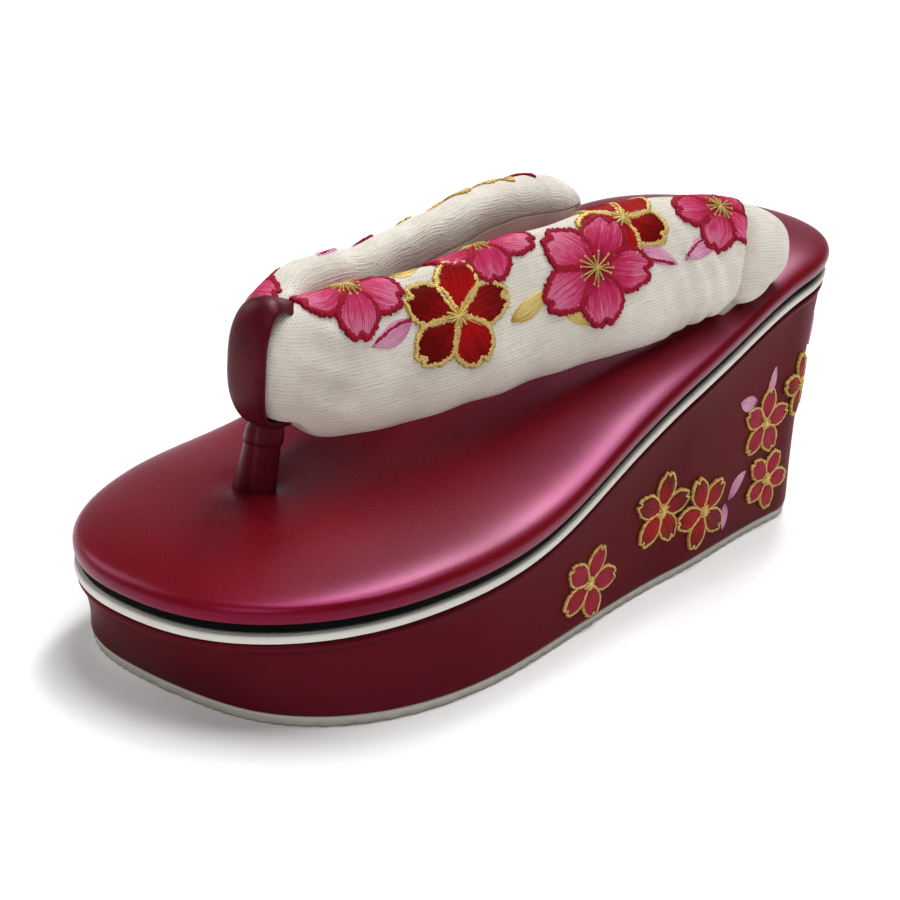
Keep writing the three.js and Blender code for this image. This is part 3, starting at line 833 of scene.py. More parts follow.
def under_band(points):
    """Draws the cloth in under the toe band's loop, so that the padding swells on both sides.

    Seen along x the loop is a rounded oval. A point outside it moves straight towards the loop's
    middle, as far as the loop's inner face, by a share that is full under the band and fades
    beside it and behind it.
    """
    away = np.abs(points[..., 0] - BAND["x"])
    half = BAND["width"] / 2
    share = 1 - ease(away, half - BAND_PULL["inside"], half + BAND_PULL["beside"])
    dy = points[..., 1] - BAND["y"]
    share = share * (1 - ease(dy, *BAND_PULL["behind"]))
    dz = points[..., 2] - BAND["z"]
    power = BAND["roundness"]
    room = BAND_THICKNESS / 2 + BAND_ROOM
    oval = (np.abs(dy / (BAND["depth"] - room)) ** power
            + np.abs(dz / (BAND["height"] - room)) ** power) ** (1 / power) + 1e-9
    pull = np.where((oval > 1) & (dy < BAND["depth"]), (1 / oval - 1) * share, 0.0)
    moved = np.stack([0 * dy, dy * pull, dz * pull], axis=-1)
    return points + moved


def rest_on_pad(points):
    """Lifts what would sink into the footbed, so that the padding flattens where it rests."""
    rests = points[..., 1] > REST["behind_y"]
    skin = pad_top(points[..., 0], points[..., 1]) + REST["gap"]
    lifted = np.where(rests, np.maximum(points[..., 2], skin), points[..., 2])
    return np.concatenate([points[..., :2], lifted[..., None]], axis=-1)


print("points on one leg:", leg_grid("outer")[0].shape)

# %% [markdown]
# ## Cotton and lining
#
# The cover is a plain-weave cotton with slubs: yarns of uneven thickness, so the cloth shows fine
# ribs across the band and stray thick runs along it. Two sets of sine ribs follow the cloth's own
# UV map, which is in millimetres, and stretched noise thickens some yarns. The yarns are really
# about 0.35 mm apart, and are drawn at 0.72 mm so that they show. The lining is a smooth cotton
# sateen: its floats hide the weave, and leave a fine slanting line and a soft lustre.


# %% Cloth helpers
def cloth_place(material):
    """The piece's own cloth map, in millimetres along and across the band."""
    return add(material, "ShaderNodeUVMap", {"uv_map": "cloth"}).outputs["UV"]


def stretched(material, place, along_mm, across_mm, detail=3.0):
    """Noise whose blotches are along_mm by across_mm in cloth coordinates."""
    scaled = add(material, "ShaderNodeMapping", None, Vector=place,
                 Scale=(1 / along_mm, 1 / across_mm, 1.0))
    return add(material, "ShaderNodeTexNoise", None, Vector=scaled.outputs["Vector"], Scale=1.0,
               Detail=detail).outputs["Fac"]


def ribs(material, value, pitch_mm, wander):
    """A sine rib for each yarn at a pitch, with its phase moved by wander."""
    turns = maths(material, "MULTIPLY", value, 2 * math.pi / pitch_mm)
    return maths(material, "SINE", maths(material, "ADD", turns, wander))


# %% Slub cotton
def slub_cotton(name, light, shade, fleck, pitch_mm, depth):
    """Plain-weave cotton: warp and weft ribs, thick slubs and small dark flecks."""
    material, output = new_material(name)
    place = cloth_place(material)
    split = add(material, "ShaderNodeSeparateXYZ", None, Vector=place)
    wander_u = maths(material, "MULTIPLY", stretched(material, place, 2.4, 9.0), 8.0)
    wander_v = maths(material, "MULTIPLY", stretched(material, place, 24.0, 2.2), 3.5)
    warp = ribs(material, split.outputs["X"], pitch_mm, wander_u)
    weft = ribs(material, split.outputs["Y"], pitch_mm * 1.15, wander_v)
    over = maths(material, "MULTIPLY", warp, weft)
    slub = ramp(material, stretched(material, place, 7.0, 0.6, 4.0),
                [(0.52, grey(0)), (0.7, grey(1))])
    patchy = ramp(material, stretched(material, place, 1.9, 1.3, 4.0),
                  [(0.36, grey(0.3)), (0.62, grey(1))])
    yarn = maths(material, "ADD", maths(material, "MULTIPLY", over, 0.62),
                 maths(material, "MULTIPLY", weft, 0.28))
    yarn = maths(material, "MULTIPLY", yarn, patchy)
    height = maths(material, "ADD", yarn, maths(material, "MULTIPLY", slub, 1.8))
    shadow = ramp(material, maths(material, "MULTIPLY", maths(material, "ADD", yarn, 1.0), 0.5),
                  [(0.0, linear(shade)), (0.6, linear(light))])
    cloud = stretched(material, place, 14.0, 14.0)
    age = ramp(material, cloud, [(0.35, grey(0)), (0.75, grey(0.35))])
    aged = blend(material, age, shadow, linear(shade))
    dots = ramp(material, stretched(material, place, 1.1, 0.45, 2.0),
                [(0.70, grey(0)), (0.78, grey(0.55))])
    colour = blend(material, dots, aged, linear(fleck))
    bump = add(material, "ShaderNodeBump", None, Strength=0.55, Distance=depth * MM, Height=height)
    return finish_material(material, output, Base_Color=colour, Roughness=0.88,
                           Specular_IOR_Level=0.25, Sheen_Weight=0.25, Sheen_Roughness=0.45,
                           Normal=bump.outputs["Normal"])


COVER_COTTON = slub_cotton("slub_woven_cotton_cream", "#ebe5da", "#a89d8b", "#7d7160", 0.72, 0.19)
print("cover:", COVER_COTTON.name)


# %% Sateen
TWILL_MM = 0.7


def sateen():
    """Cotton sateen lining: smooth, with a fine twill line and a soft lustre."""
    material, output = new_material("cotton_sateen_cream")
    place = cloth_place(material)
    split = add(material, "ShaderNodeSeparateXYZ", None, Vector=place)
    diagonal = maths(material, "ADD", split.outputs["X"], split.outputs["Y"])
    twill = ribs(material, diagonal, TWILL_MM, 0.0)
    cloud = stretched(material, place, 22.0, 9.0)
    colour = ramp(material, cloud, [(0.3, linear("#e9e2d2")), (0.75, linear("#f3ecdd"))])
    bump = add(material, "ShaderNodeBump", None, Strength=0.25, Distance=0.00005, Height=twill)
    return finish_material(material, output, Base_Color=colour, Roughness=0.7,
                           Specular_IOR_Level=0.3, Sheen_Weight=0.2, Sheen_Roughness=0.4,
                           Normal=bump.outputs["Normal"])


LINING_COTTON = sateen()
print("lining:", LINING_COTTON.name)

# %% [markdown]
# ## Strap cover
#
# Each leg is a closed skin: the grid of sections with a point at each end. The two skins are joined
# into one by a union, so the crease where the legs meet behind the toe is a real fold. A cloth map
# is made at the same time, from running lengths along and round the leg, for the weave to follow.


# %% Build the strap
def cloth_map(points, middle):
    """Cloth coordinates of a leg's grid: length along the leg, and height over the section.

    Both are running sums of the distance between neighbours, with 0 across at the column middle.
    """
    along_leg = np.linalg.norm(np.diff(points[:, middle], axis=0), axis=1)
    s = np.concatenate([[0.0], np.cumsum(along_leg)])
    step = np.linalg.norm(np.diff(points, axis=1), axis=2)
    w = np.concatenate([np.zeros((len(points), 1)), np.cumsum(step, axis=1)], axis=1)
    w = w[:, middle:middle + 1] - w
    return np.stack([np.broadcast_to(s[:, None], w.shape), w], axis=-1)


def leg_object(leg):
    """A closed padded leg with its cloth map."""
    points, _, _ = leg_grid(leg)
    rows, columns, _ = points.shape
    middle = columns // 2
    cloth = cloth_map(points, middle)
    table, side = LEGS[leg]
    ends = [[table[axis][i] for axis in "xyz"] for i in (0, -1)]
    ends = rest_on_pad(np.array(ends))
    every = np.concatenate([points.reshape(-1, 3), ends])
    uv = np.concatenate([cloth.reshape(-1, 2), [cloth[0, middle], cloth[-1, middle]]])
    faces = grid_faces(rows, columns).tolist()
    ring = np.arange(columns)
    after = (ring + 1) % columns
    base = (rows - 1) * columns
    front, rear = np.full(columns, rows * columns), np.full(columns, rows * columns + 1)
    faces += np.stack([front, after, ring], axis=1).tolist()
    faces += np.stack([rear, base + ring, base + after], axis=1).tolist()
    if side < 0:
        faces = [face[::-1] for face in faces]
    return new_object(f"strap_leg_{leg}", every, faces, COVER_COTTON, uv)


def union(name, first, second):
    """Joins two closed meshes into one skin and removes the second object."""
    join = first.modifiers.new("join", "BOOLEAN")
    join.operation = "UNION"
    join.solver = "MANIFOLD"
    join.object = second
    solved = first.evaluated_get(bpy.context.evaluated_depsgraph_get())
    joined = bpy.data.meshes.new_from_object(solved)
    first.modifiers.clear()
    first.data = joined
    first.name = name
    bpy.data.objects.remove(second)
    return first


strap = union("strap_cover", leg_object("outer"), leg_object("inner"))
print("strap faces:", len(strap.data.polygons))

# %% [markdown]
# ## A flat drawing laid on a curved cloth
#
# Embroidery is easiest to draw flat, in millimetres along and up the band. To lay it on, the leg's
# surface is resampled on an even grid of the same two measures, with its outward direction. Any
# flat point then finds its place by mixing the four nearest grid points, and its height is added
# outward.

# %% Surface tables
TABLE_STEP = 0.5


def even_table(points, s, w, side, reach=(-40, 40)):
    """Points and outward normals on an even (s, w) grid, with w over its reach.

    Each row is first resampled over w, and then the rows are mixed to even steps of s. The normal
    is the cross product of the two grid directions.
    """
    w_even = np.arange(reach[0], reach[1] + TABLE_STEP, TABLE_STEP)
    s_even = np.arange(s[0], s[-1], TABLE_STEP)
    rows = np.stack([[np.interp(w_even, wi, p[:, k]) for k in range(3)]
                     for wi, p in zip(w, points)]).transpose(0, 2, 1)
    place = np.interp(s_even, s, np.arange(len(s)))
    low = np.clip(place.astype(int), 0, len(s) - 2)
    mix = (place - low)[:, None, None]
    even = rows[low] * (1 - mix) + rows[low + 1] * mix
    normals = side * np.cross(np.gradient(even, axis=0), np.gradient(even, axis=1))
    normals /= np.linalg.norm(normals, axis=2, keepdims=True) + 1e-9
    return {"points": even, "normals": normals, "s0": s_even[0], "w0": w_even[0], "side": side}


def lay_on(table, flat):
    """Places flat points (s, w, height) on a surface table by bilinear mixing."""
    shape = table["points"].shape
    row = np.clip((flat[..., 0] - table["s0"]) / TABLE_STEP, 0, shape[0] - 1.001)
    column = np.clip((flat[..., 1] - table["w0"]) / TABLE_STEP, 0, shape[1] - 1.001)
    i, j = row.astype(int), column.astype(int)
    a, b = (row - i)[..., None], (column - j)[..., None]

    def mixed(grid):
        low = grid[i, j] * (1 - b) + grid[i, j + 1] * b
        high = grid[i + 1, j] * (1 - b) + grid[i + 1, j + 1] * b
        return low * (1 - a) + high * a

    return mixed(table["points"]) + mixed(table["normals"]) * flat[..., 2:]


def strap_table(leg):
    """The surface table of a leg: s along it from the front tip, w up from the face's middle."""
    columns = 160
    points, _, _ = leg_grid(leg, rows=220, columns=columns)
    cloth = cloth_map(points, columns // 2)
    return even_table(points[:, ::-1], cloth[:, 0, 0], cloth[:, ::-1, 1], LEGS[leg][1])


STRAP_TABLES = {leg: strap_table(leg) for leg in LEGS}
print("cloth table:", STRAP_TABLES["outer"]["points"].shape)

# %% [markdown]
# ## Lining panels
#
# The side of the strap that touches the foot is faced with a smooth sateen panel, so that the slubs
# don't rub. It could be a colour on the cover, but a real seam has an edge that catches the light.
# So the panel is a thin closed sheet of the leg's own grid, laid in the step that waits for it. Its
# flat size is measured from its rows and columns, because a stretched lining is cut to the strap.

# %% Lay the lining panels
LINING_ROWS = {"start": 30, "stop": 208}
LINING_LIFT = 0.28
LINING_SINK = 0.2
LINING_MARGIN = 0.03
LINING_FACE = -0.2
LINING_WEAVE = {"along": 0.7, "across": 0.6}


def lining_panel(leg):
    """The sateen panel in the step on the inner side: the leg's own grid, lifted off its floor."""
    points, up, out = leg_grid(leg)
    half = len(up) // 2
    order = np.concatenate([np.arange(half, 2 * half), np.arange(half)])
    low, high = SEAM["low"] + LINING_MARGIN, SEAM["high"] - LINING_MARGIN
    inside = [c for c in order if out[c] < LINING_FACE and low < up[c] < high]
    side = LEGS[leg][1]
    around = np.roll(points, -1, axis=1) - np.roll(points, 1, axis=1)
    normal = side * np.cross(around, np.gradient(points, axis=0))
    normal /= np.linalg.norm(normal, axis=2, keepdims=True) + 1e-9
    rows = slice(LINING_ROWS["start"], LINING_ROWS["stop"])
    top = (points + normal * LINING_LIFT)[rows][:, inside]
    under = (points - normal * LINING_SINK)[rows][:, inside]
    long, wide = top.shape[:2]
    count = long * wide
    faces = grid_faces(long, wide, wrap=False)
    ring = np.concatenate([np.arange(wide), np.arange(1, long) * wide + wide - 1,
                           (long - 1) * wide + np.arange(wide - 2, -1, -1),
                           np.arange(long - 2, 0, -1) * wide])
    after = np.roll(ring, -1)
    wall = np.stack([ring, ring + count, after + count, after], axis=1)
    every = np.concatenate([faces, faces[:, ::-1] + count, wall])
    if side < 0:
        every = every[:, ::-1]
    cloth = np.stack(np.meshgrid(np.arange(long) * LINING_WEAVE["along"],
                                 np.arange(wide) * LINING_WEAVE["across"],
                                 indexing="ij"), axis=-1).reshape(-1, 2)
    both = np.concatenate([top.reshape(-1, 3), under.reshape(-1, 3)])
    return new_object(f"strap_lining_{leg}", both, every, LINING_COTTON, np.tile(cloth, (2, 1)))


linings = {leg: lining_panel(leg) for leg in LEGS}
print("lining faces:", [len(o.data.polygons) for o in linings.values()])

# %% [markdown]
# ## Strap tails
#
# Each leg ends in a flat tail of the same cotton, pulled through a slot in the footbed and knotted
# underneath. Only a few millimetres show, in the shade under the tuck, so a rounded flat rod will
# do. Its section is a superellipse, and it gets thinner where it is pinched by the slot.

# %% Build the tails
TAIL = {"y": 52.0, "length": 10.0, "thickness": 3.2, "height": 12.0, "sunk": 3.0}
TAIL_X = [34.0, -35.0]
TAIL_ROUNDNESS = 4
TAIL_PINCH = {"depth": 0.1, "at": 0.28, "spread": 0.12}


def rod(name, middle, wide, deep, material, uv=None):
    """A closed rod: a ring of half sizes wide and deep about each middle, with a point per end."""
    rows, columns = wide.shape
    angle = np.linspace(0, 2 * np.pi, columns, endpoint=False)[None]
    x = middle[:, :1] + wide * np.cos(angle)
    y = middle[:, 1:2] + deep * np.sin(angle)
    ring = np.stack([x, y, np.broadcast_to(middle[:, 2:], x.shape)], axis=-1).reshape(-1, 3)
    around = np.arange(columns)
    after = (around + 1) % columns
    last = (rows - 1) * columns
    low, high = np.full(columns, rows * columns), np.full(columns, rows * columns + 1)
    faces = grid_faces(rows, columns).tolist()
    faces += np.stack([low, after, around], axis=1).tolist()
    faces += np.stack([high, last + around, last + after], axis=1).tolist()
    return new_object(name, np.concatenate([ring, middle[[0, -1]]]), faces, material, uv)


def build_tail(name, x, rows=24, columns=40):
    """A tail: a flat rounded rod, pinched to nine tenths where it enters the slot."""
    foot = float(pad_top(x, TAIL["y"])) - TAIL["sunk"]
    t = np.linspace(0, 1, rows)[:, None]
    middle = np.concatenate([x + 0 * t, TAIL["y"] + 0 * t, foot + TAIL["height"] * t], axis=1)
    angle = np.linspace(0, 2 * np.pi, columns, endpoint=False)[None]
    round_off = (np.abs(np.cos(angle)) ** TAIL_ROUNDNESS
                 + np.abs(np.sin(angle)) ** TAIL_ROUNDNESS) ** (-1 / TAIL_ROUNDNESS)
    pinch = 1 - TAIL_PINCH["depth"] * bell(t, TAIL_PINCH["at"], TAIL_PINCH["spread"])
    uv = np.stack([angle * 4 + 0 * t, TAIL["height"] * t + 0 * angle], axis=-1).reshape(-1, 2)
    return rod(name, middle, TAIL["thickness"] / 2 * round_off * pinch,
               TAIL["length"] / 2 * round_off * pinch, COVER_COTTON,
               np.concatenate([uv, uv[[0, -1]]]))


tails = [build_tail(f"strap_tail_{leg}", x) for leg, x in zip(LEGS, TAIL_X)]
print("tails:", [o.name for o in tails])

# %% [markdown]
# ## Toe band and stem
#
# One flat strip of burgundy leather loops round the front of the strap and narrows below, and a
# stem of the same leather joins it to the sole. The loop is a rounded oval in the plane of the
# stem. Its strip is curved across where it lies on the swelling front, and dives into the padding
# at the top. The stem is a fold of leather pressed flat: an oval rod with soft facets, a crease
# where the leather's edge lies, and a collar where it is tied under the band. The leather is
# thinner than the wedge's, so its grain stands out more.


# %% Thong leather
def thong_leather():
    """Thin burgundy leather: satin, softly clouded, with a deeper grain than the wedge's."""
    material, output = new_material("folded_coated_leather_burgundy")
    place = millimetres(material)
    cloud = add(material, "ShaderNodeTexNoise", None, Vector=place, Scale=1 / 6, Detail=5.0)
    colour = ramp(material, cloud.outputs["Fac"],
                  [(0.3, linear("#3e0911")), (0.7, linear("#53101b"))])
    height = leather_height(material, place, 0.5, 3.0)
    bump = add(material, "ShaderNodeBump", None, Strength=0.3, Distance=0.0001, Height=height)
    return finish_material(material, output, Base_Color=colour, Roughness=0.38,
                           Specular_IOR_Level=0.4, Specular_Tint=linear("#c86074"),
                           Normal=bump.outputs["Normal"])


THONG_LEATHER = thong_leather()
print("thong:", THONG_LEATHER.name)


# %% Build the band
BAND_WIDTH = {"front": 10.8, "top": 9.6, "back": 6.5, "bottom": 5.6}
BAND_SAG = {"front": 0.6, "top": 2.4}
BAND_DIVE = {"depth": 2.8, "from": -80.5, "to": -71.0}
BAND_GATHER = {"height": 0.35, "rate": 7}
BAND_CREASE = {"depth": 0.22, "at": 0.25, "spread": 0.16}


def signed_power(value, power):
    """A power that keeps the sign, for superellipses."""
    return np.sign(value) * np.abs(value) ** power


def build_band(turns=160, across=28):
    """The loop: a rounded strip section carried round a superellipse, with gathers at its foot."""
    angle = np.linspace(0, 2 * np.pi, turns, endpoint=False)[:, None]
    power = 2 / BAND["roundness"]
    cos, sin = np.cos(angle), np.sin(angle)
    y = BAND["y"] + BAND["depth"] * signed_power(cos, power)
    z = BAND["z"] + BAND["height"] * signed_power(sin, power)
    out_y = BAND["height"] * signed_power(cos, 2 - power)
    out_z = BAND["depth"] * signed_power(sin, 2 - power)
    length = np.hypot(out_y, out_z)
    out_y, out_z = out_y / length, out_z / length
    deep = np.where(cos > 0, BAND_WIDTH["back"], BAND_WIDTH["front"])
    tall = np.where(sin > 0, BAND_WIDTH["top"], BAND_WIDTH["bottom"])
    half = (deep * cos**2 + tall * sin**2) / 2
    around = np.linspace(0, 2 * np.pi, across, endpoint=False)[None]
    u = signed_power(np.cos(around), 0.5)
    skin = signed_power(np.sin(around), 0.6) * BAND_THICKNESS / 2
    foot = np.clip(-sin, 0, 1) ** 3
    gather = BAND_GATHER["height"] * np.cos(BAND_GATHER["rate"] * u) * foot * (skin > 0)
    crease = -BAND_CREASE["depth"] * bell(u, BAND_CREASE["at"], BAND_CREASE["spread"])
    crease = crease * np.clip(-cos, 0, 1) * (skin > 0)
    sag = BAND_SAG["front"] * np.clip(-cos, 0, 1) ** 2 + BAND_SAG["top"] * np.clip(sin, 0, 1) ** 2
    move = skin + gather + crease - sag * u**2
    x = BAND["x"] + u * half + 0 * move
    dive = BAND_DIVE["depth"] * ease(y, BAND_DIVE["from"], BAND_DIVE["to"]) * np.clip(sin, 0, 1)
    points = np.stack([x, y + out_y * move, z + out_z * move - dive], axis=-1).reshape(-1, 3)
    row, column = np.meshgrid(np.arange(turns), np.arange(across), indexing="ij")
    row_after, column_after = (row + 1) % turns, (column + 1) % across
    faces = np.stack([row * across + column, row_after * across + column,
                      row_after * across + column_after, row * across + column_after], axis=-1)
    return new_object("toe_band_leather", points, faces.reshape(-1, 4), THONG_LEATHER)


band = build_band()
print("band faces:", len(band.data.polygons))


# %% Build the stem
STEM_TOP = np.array([-8.2, -72.8, 51.4])
STEM_SIZE = {"width": 10.8, "thickness": 7.4, "sunk": 3.0}
STEM_TAPER = {"foot": 1.12, "loss": 0.34}
STEM_COLLAR = {"step": 0.09, "rise": (0.66, 0.69), "loss": 0.16, "fall": (0.76, 0.97)}
STEM_CAP = {"from": 0.93, "length": 0.07, "roundness": 2.2, "least": 0.02}
STEM_CREASE = {"depth": 0.14, "angle": 5.1, "slant": 0.5, "spread": 0.13}
STEM_FACETS = {"depth": 0.05, "count": 4, "start": 0.6, "twist": 1.2}


def build_stem(rows=60, columns=48):
    """The stem: oval sections up a leaning line, with facets, a crease and a collar near the top.

    Both half sizes follow one swell, which tapers from foot to head, with the collar's step added
    and its last stretch rounded off. It is multiplied by a bell that cuts the crease, and by a
    cosine with a turn for each facet round the rod.
    """
    foot_z = float(pad_top(STEM_FOOT[0], STEM_FOOT[1])) - STEM_SIZE["sunk"]
    t = np.linspace(0, 1, rows)[:, None]
    middle = np.array([*STEM_FOOT, foot_z]) * (1 - t) + STEM_TOP * t
    angle = np.linspace(0, 2 * np.pi, columns, endpoint=False)[None]
    collar = (STEM_COLLAR["step"] * ease(t, *STEM_COLLAR["rise"])
              - STEM_COLLAR["loss"] * ease(t, *STEM_COLLAR["fall"]))
    cap = np.clip((t - STEM_CAP["from"]) / STEM_CAP["length"], 0, 1) ** STEM_CAP["roundness"]
    swell = STEM_TAPER["foot"] - STEM_TAPER["loss"] * t + collar
    swell = swell * np.sqrt(np.clip(1 - cap, STEM_CAP["least"], 1))
    from_crease = angle - STEM_CREASE["angle"] + STEM_CREASE["slant"] * t
    crease = 1 - STEM_CREASE["depth"] * bell(from_crease, 0, STEM_CREASE["spread"])
    phase = STEM_FACETS["count"] * angle + STEM_FACETS["start"] + STEM_FACETS["twist"] * t
    facet = 1 + STEM_FACETS["depth"] * np.cos(phase)
    shape = swell * crease * facet
    return rod("toe_stem_leather", middle, STEM_SIZE["width"] / 2 * shape,
               STEM_SIZE["thickness"] / 2 * shape, THONG_LEATHER)


stem = build_stem()
print("stem faces:", len(stem.data.polygons))

# %% [markdown]
# ## Machine embroidery
#
# Each motif is made of stitches. A petal is filled with long threads that fan from its base to its
# tip, so it is a domed patch with one ridge for each thread. Its edge is covered by a satin border,
# short stitches side by side across the outline, with ragged ends. Stamens are single long
# stitches. The patches are drawn flat, then laid on the cloth with their undersides sunk in it. A
# bump could draw them in less time, but real relief catches the light along its edges and shows in
# the outline. Each patch's thread map starts at a number of its own, so that petals differ.


# %% Closed patches
SINK_MM = 0.35
PATCH_STEP = 41.0
patch_count = 0


def closed_patch(top, depth):
    """Points and faces of a raised patch closed underneath.

    top is a grid of (along, across, height). Two more columns lie depth below its sides, and the
    under side is ruled straight between them.
    """
    rows, columns, _ = top.shape
    under = top[:, [0, -1]].copy()
    under[..., 2] -= depth
    points = np.concatenate([top.reshape(-1, 3), under.reshape(-1, 3)])
    faces = grid_faces(rows, columns, wrap=False).tolist()
    row = np.arange(rows - 1)
    left, right = rows * columns + 2 * row, rows * columns + 2 * row + 1
    first, last = row * columns, row * columns + columns - 1
    faces += np.stack([first, first + columns, left + 2, left], axis=1).tolist()
    faces += np.stack([last + columns, last, right, right + 2], axis=1).tolist()
    faces += np.stack([left, left + 2, right + 2, right], axis=1).tolist()
    end = (rows - 1) * columns
    faces.append([*range(columns - 1, -1, -1), rows * columns, rows * columns + 1])
    faces.append([*range(end, end + columns), rows * columns + 2 * rows - 1,
                  rows * columns + 2 * rows - 2])
    return points, faces


def stitch_patch(top, thread, share):
    """A closed patch with its thread map: x counts threads, y goes from 0 to 1 along each."""
    global patch_count
    patch_count += 1
    points, faces = closed_patch(top, SINK_MM + float(top[..., 2].min()))
    uv = np.stack(np.broadcast_arrays(thread + PATCH_STEP * patch_count, share), axis=-1)
    return points, faces, np.concatenate([uv.reshape(-1, 2), uv[:, [0, -1]].reshape(-1, 2)])


# %% Petals and leaves
THREAD_MM = 0.5
FILL_LIFT = 0.2
VALLEY_MM = 0.07
LOOSE_MM = (-0.04, 0.05)


def petal_place(u, t, size):
    """A petal in its own axes, u from -1 to 1 across and t from 0 at its base to 1 at its tip.

    The half width is a power of a sine of t, and the tip is cut back by a notch in the middle and
    rounded at the corners.
    """
    half = size["half"] * np.sin(np.pi * (0.05 + 0.78 * t**1.15)) ** 0.8
    end = 1 - size["notch"] * bell(u, 0, 0.28) - 0.13 * u**2
    return size["base"] + (size["length"] * end - size["base"]) * t, half * u


def leaf_place(u, t, size):
    """A pointed leaf in its own axes: its half width is a sine of t, fuller towards the base."""
    half = size["half"] * np.sin(np.pi * t**0.85) ** 0.85
    bend = size["bend"] * np.sin(np.pi * t)
    return size["base"] + (size["length"] - size["base"]) * t, half * u + bend


def turned(along, across, flower, angle):
    """Own axes to the flat cloth: turned by angle, then stretched to the motif's two radii."""
    cos, sin = math.cos(angle), math.sin(angle)
    stretch = flower["long"] / flower["tall"]
    return (flower["s"] + (along * cos - across * sin) * stretch,
            flower["w"] + along * sin + across * cos)


def filled(place, size, flower, angle, lift, rows=13):
    """The thread filling of a petal or leaf: a ridge for each thread, with a valley between two."""
    threads = max(6, round(2 * size["half"] / THREAD_MM))
    u = np.linspace(0.97, -0.97, 2 * threads + 1)[None]
    t = np.linspace(0.0, 0.985, rows)[:, None]
    s, w = turned(*place(u, t, size), flower, angle)
    valley = VALLEY_MM * (np.arange(2 * threads + 1) % 2 == 0)
    loose = np.repeat(random.uniform(*LOOSE_MM, threads + 1), 2)[:2 * threads + 1]
    dome = size["dome"] * (1 - u**4) * np.sin(np.pi * (0.15 + 0.75 * t))
    height = lift + FILL_LIFT + dome + (loose - valley)[None]
    return stitch_patch(np.stack(np.broadcast_arrays(s, w, height), axis=-1),
                        np.arange(2 * threads + 1)[None] / 2 + 0.5, t)


print("threads across a petal 8 mm wide:", round(8 / THREAD_MM))


# %% Borders and single stitches
BORDER_STITCH_MM = 0.48


def border(path, width, lift, ragged, crown=0.3):
    """A satin border along a flat line: stitches of uneven length, with dips between them."""
    length = np.concatenate([[0], np.cumsum(np.linalg.norm(np.diff(path, axis=0), axis=1))])
    samples = 2 * max(2, round(length[-1] / BORDER_STITCH_MM)) + 1
    even = np.linspace(0, length[-1], samples)
    line = np.stack([np.interp(even, length, path[:, k]) for k in (0, 1)], axis=1)
    ahead = np.gradient(line, axis=0)
    left = np.stack([-ahead[:, 1], ahead[:, 0]], axis=1)
    left /= np.linalg.norm(left, axis=1, keepdims=True) + 1e-9
    q = np.array([1.0, 0.6, 0.0, -0.6, -1.0])[None]
    stitch = np.arange(samples)[:, None] // 2
    dip = (np.arange(samples)[:, None] % 2).astype(float)
    ends = random.uniform(-ragged, ragged, (stitch.max() + 1, 2))[stitch[:, 0]]
    reach = np.where(q > 0, ends[:, :1], ends[:, 1:]) * np.abs(q)
    across = q * (width / 2 - 0.1 * dip * np.abs(q)) + reach * np.sign(q)
    flat = line[:, None] + left[:, None] * across[..., None]
    height = lift + 0.1 + crown * np.sqrt(1 - 0.92 * q**2) * (1 - 0.3 * dip)
    top = np.concatenate([flat, np.broadcast_to(height, across.shape)[..., None]], axis=-1)
    return stitch_patch(top, np.arange(samples)[:, None] / 2 + 0.25, (q + 1) / 2)


def single_stitch(start, end, width, lift, crown=0.35):
    """One long stitch between two flat points, bowed up in its middle."""
    t = np.linspace(0, 1, 6)[:, None]
    q = np.array([1.0, 0.0, -1.0])[None]
    start, end = np.asarray(start, float), np.asarray(end, float)
    ahead = end - start
    left = np.array([-ahead[1], ahead[0]]) / (np.linalg.norm(ahead) + 1e-9)
    flat = start + ahead * t[..., None] + left * (q * width / 2)[..., None]
    height = lift + 0.12 + crown * np.sin(np.pi * (0.1 + 0.8 * t)) * (1 - 0.6 * q**2)
    top = np.concatenate([flat, np.broadcast_to(height, flat.shape[:2])[..., None]], axis=-1)
    return stitch_patch(top, q * 0.5 + 0.5, t)


print("stitches in 10 mm of border:", round(10 / BORDER_STITCH_MM))


# %% [markdown]
# ## Silk and gold thread
#
# Rayon embroidery thread is dyed silk-bright, and each thread takes its own shade, because it lies
# at its own twist. The thread map counts threads, so its whole part picks the thread's shade, its
# fraction finds the groove between two threads, which is painted darker as shade, and the patch's
# number shifts a whole petal. The colour also changes from a petal's base to its tip. Gold is a
# foil
# wound on a core: yellow and part metal.


# %% Thread materials
STREAK = 1.1


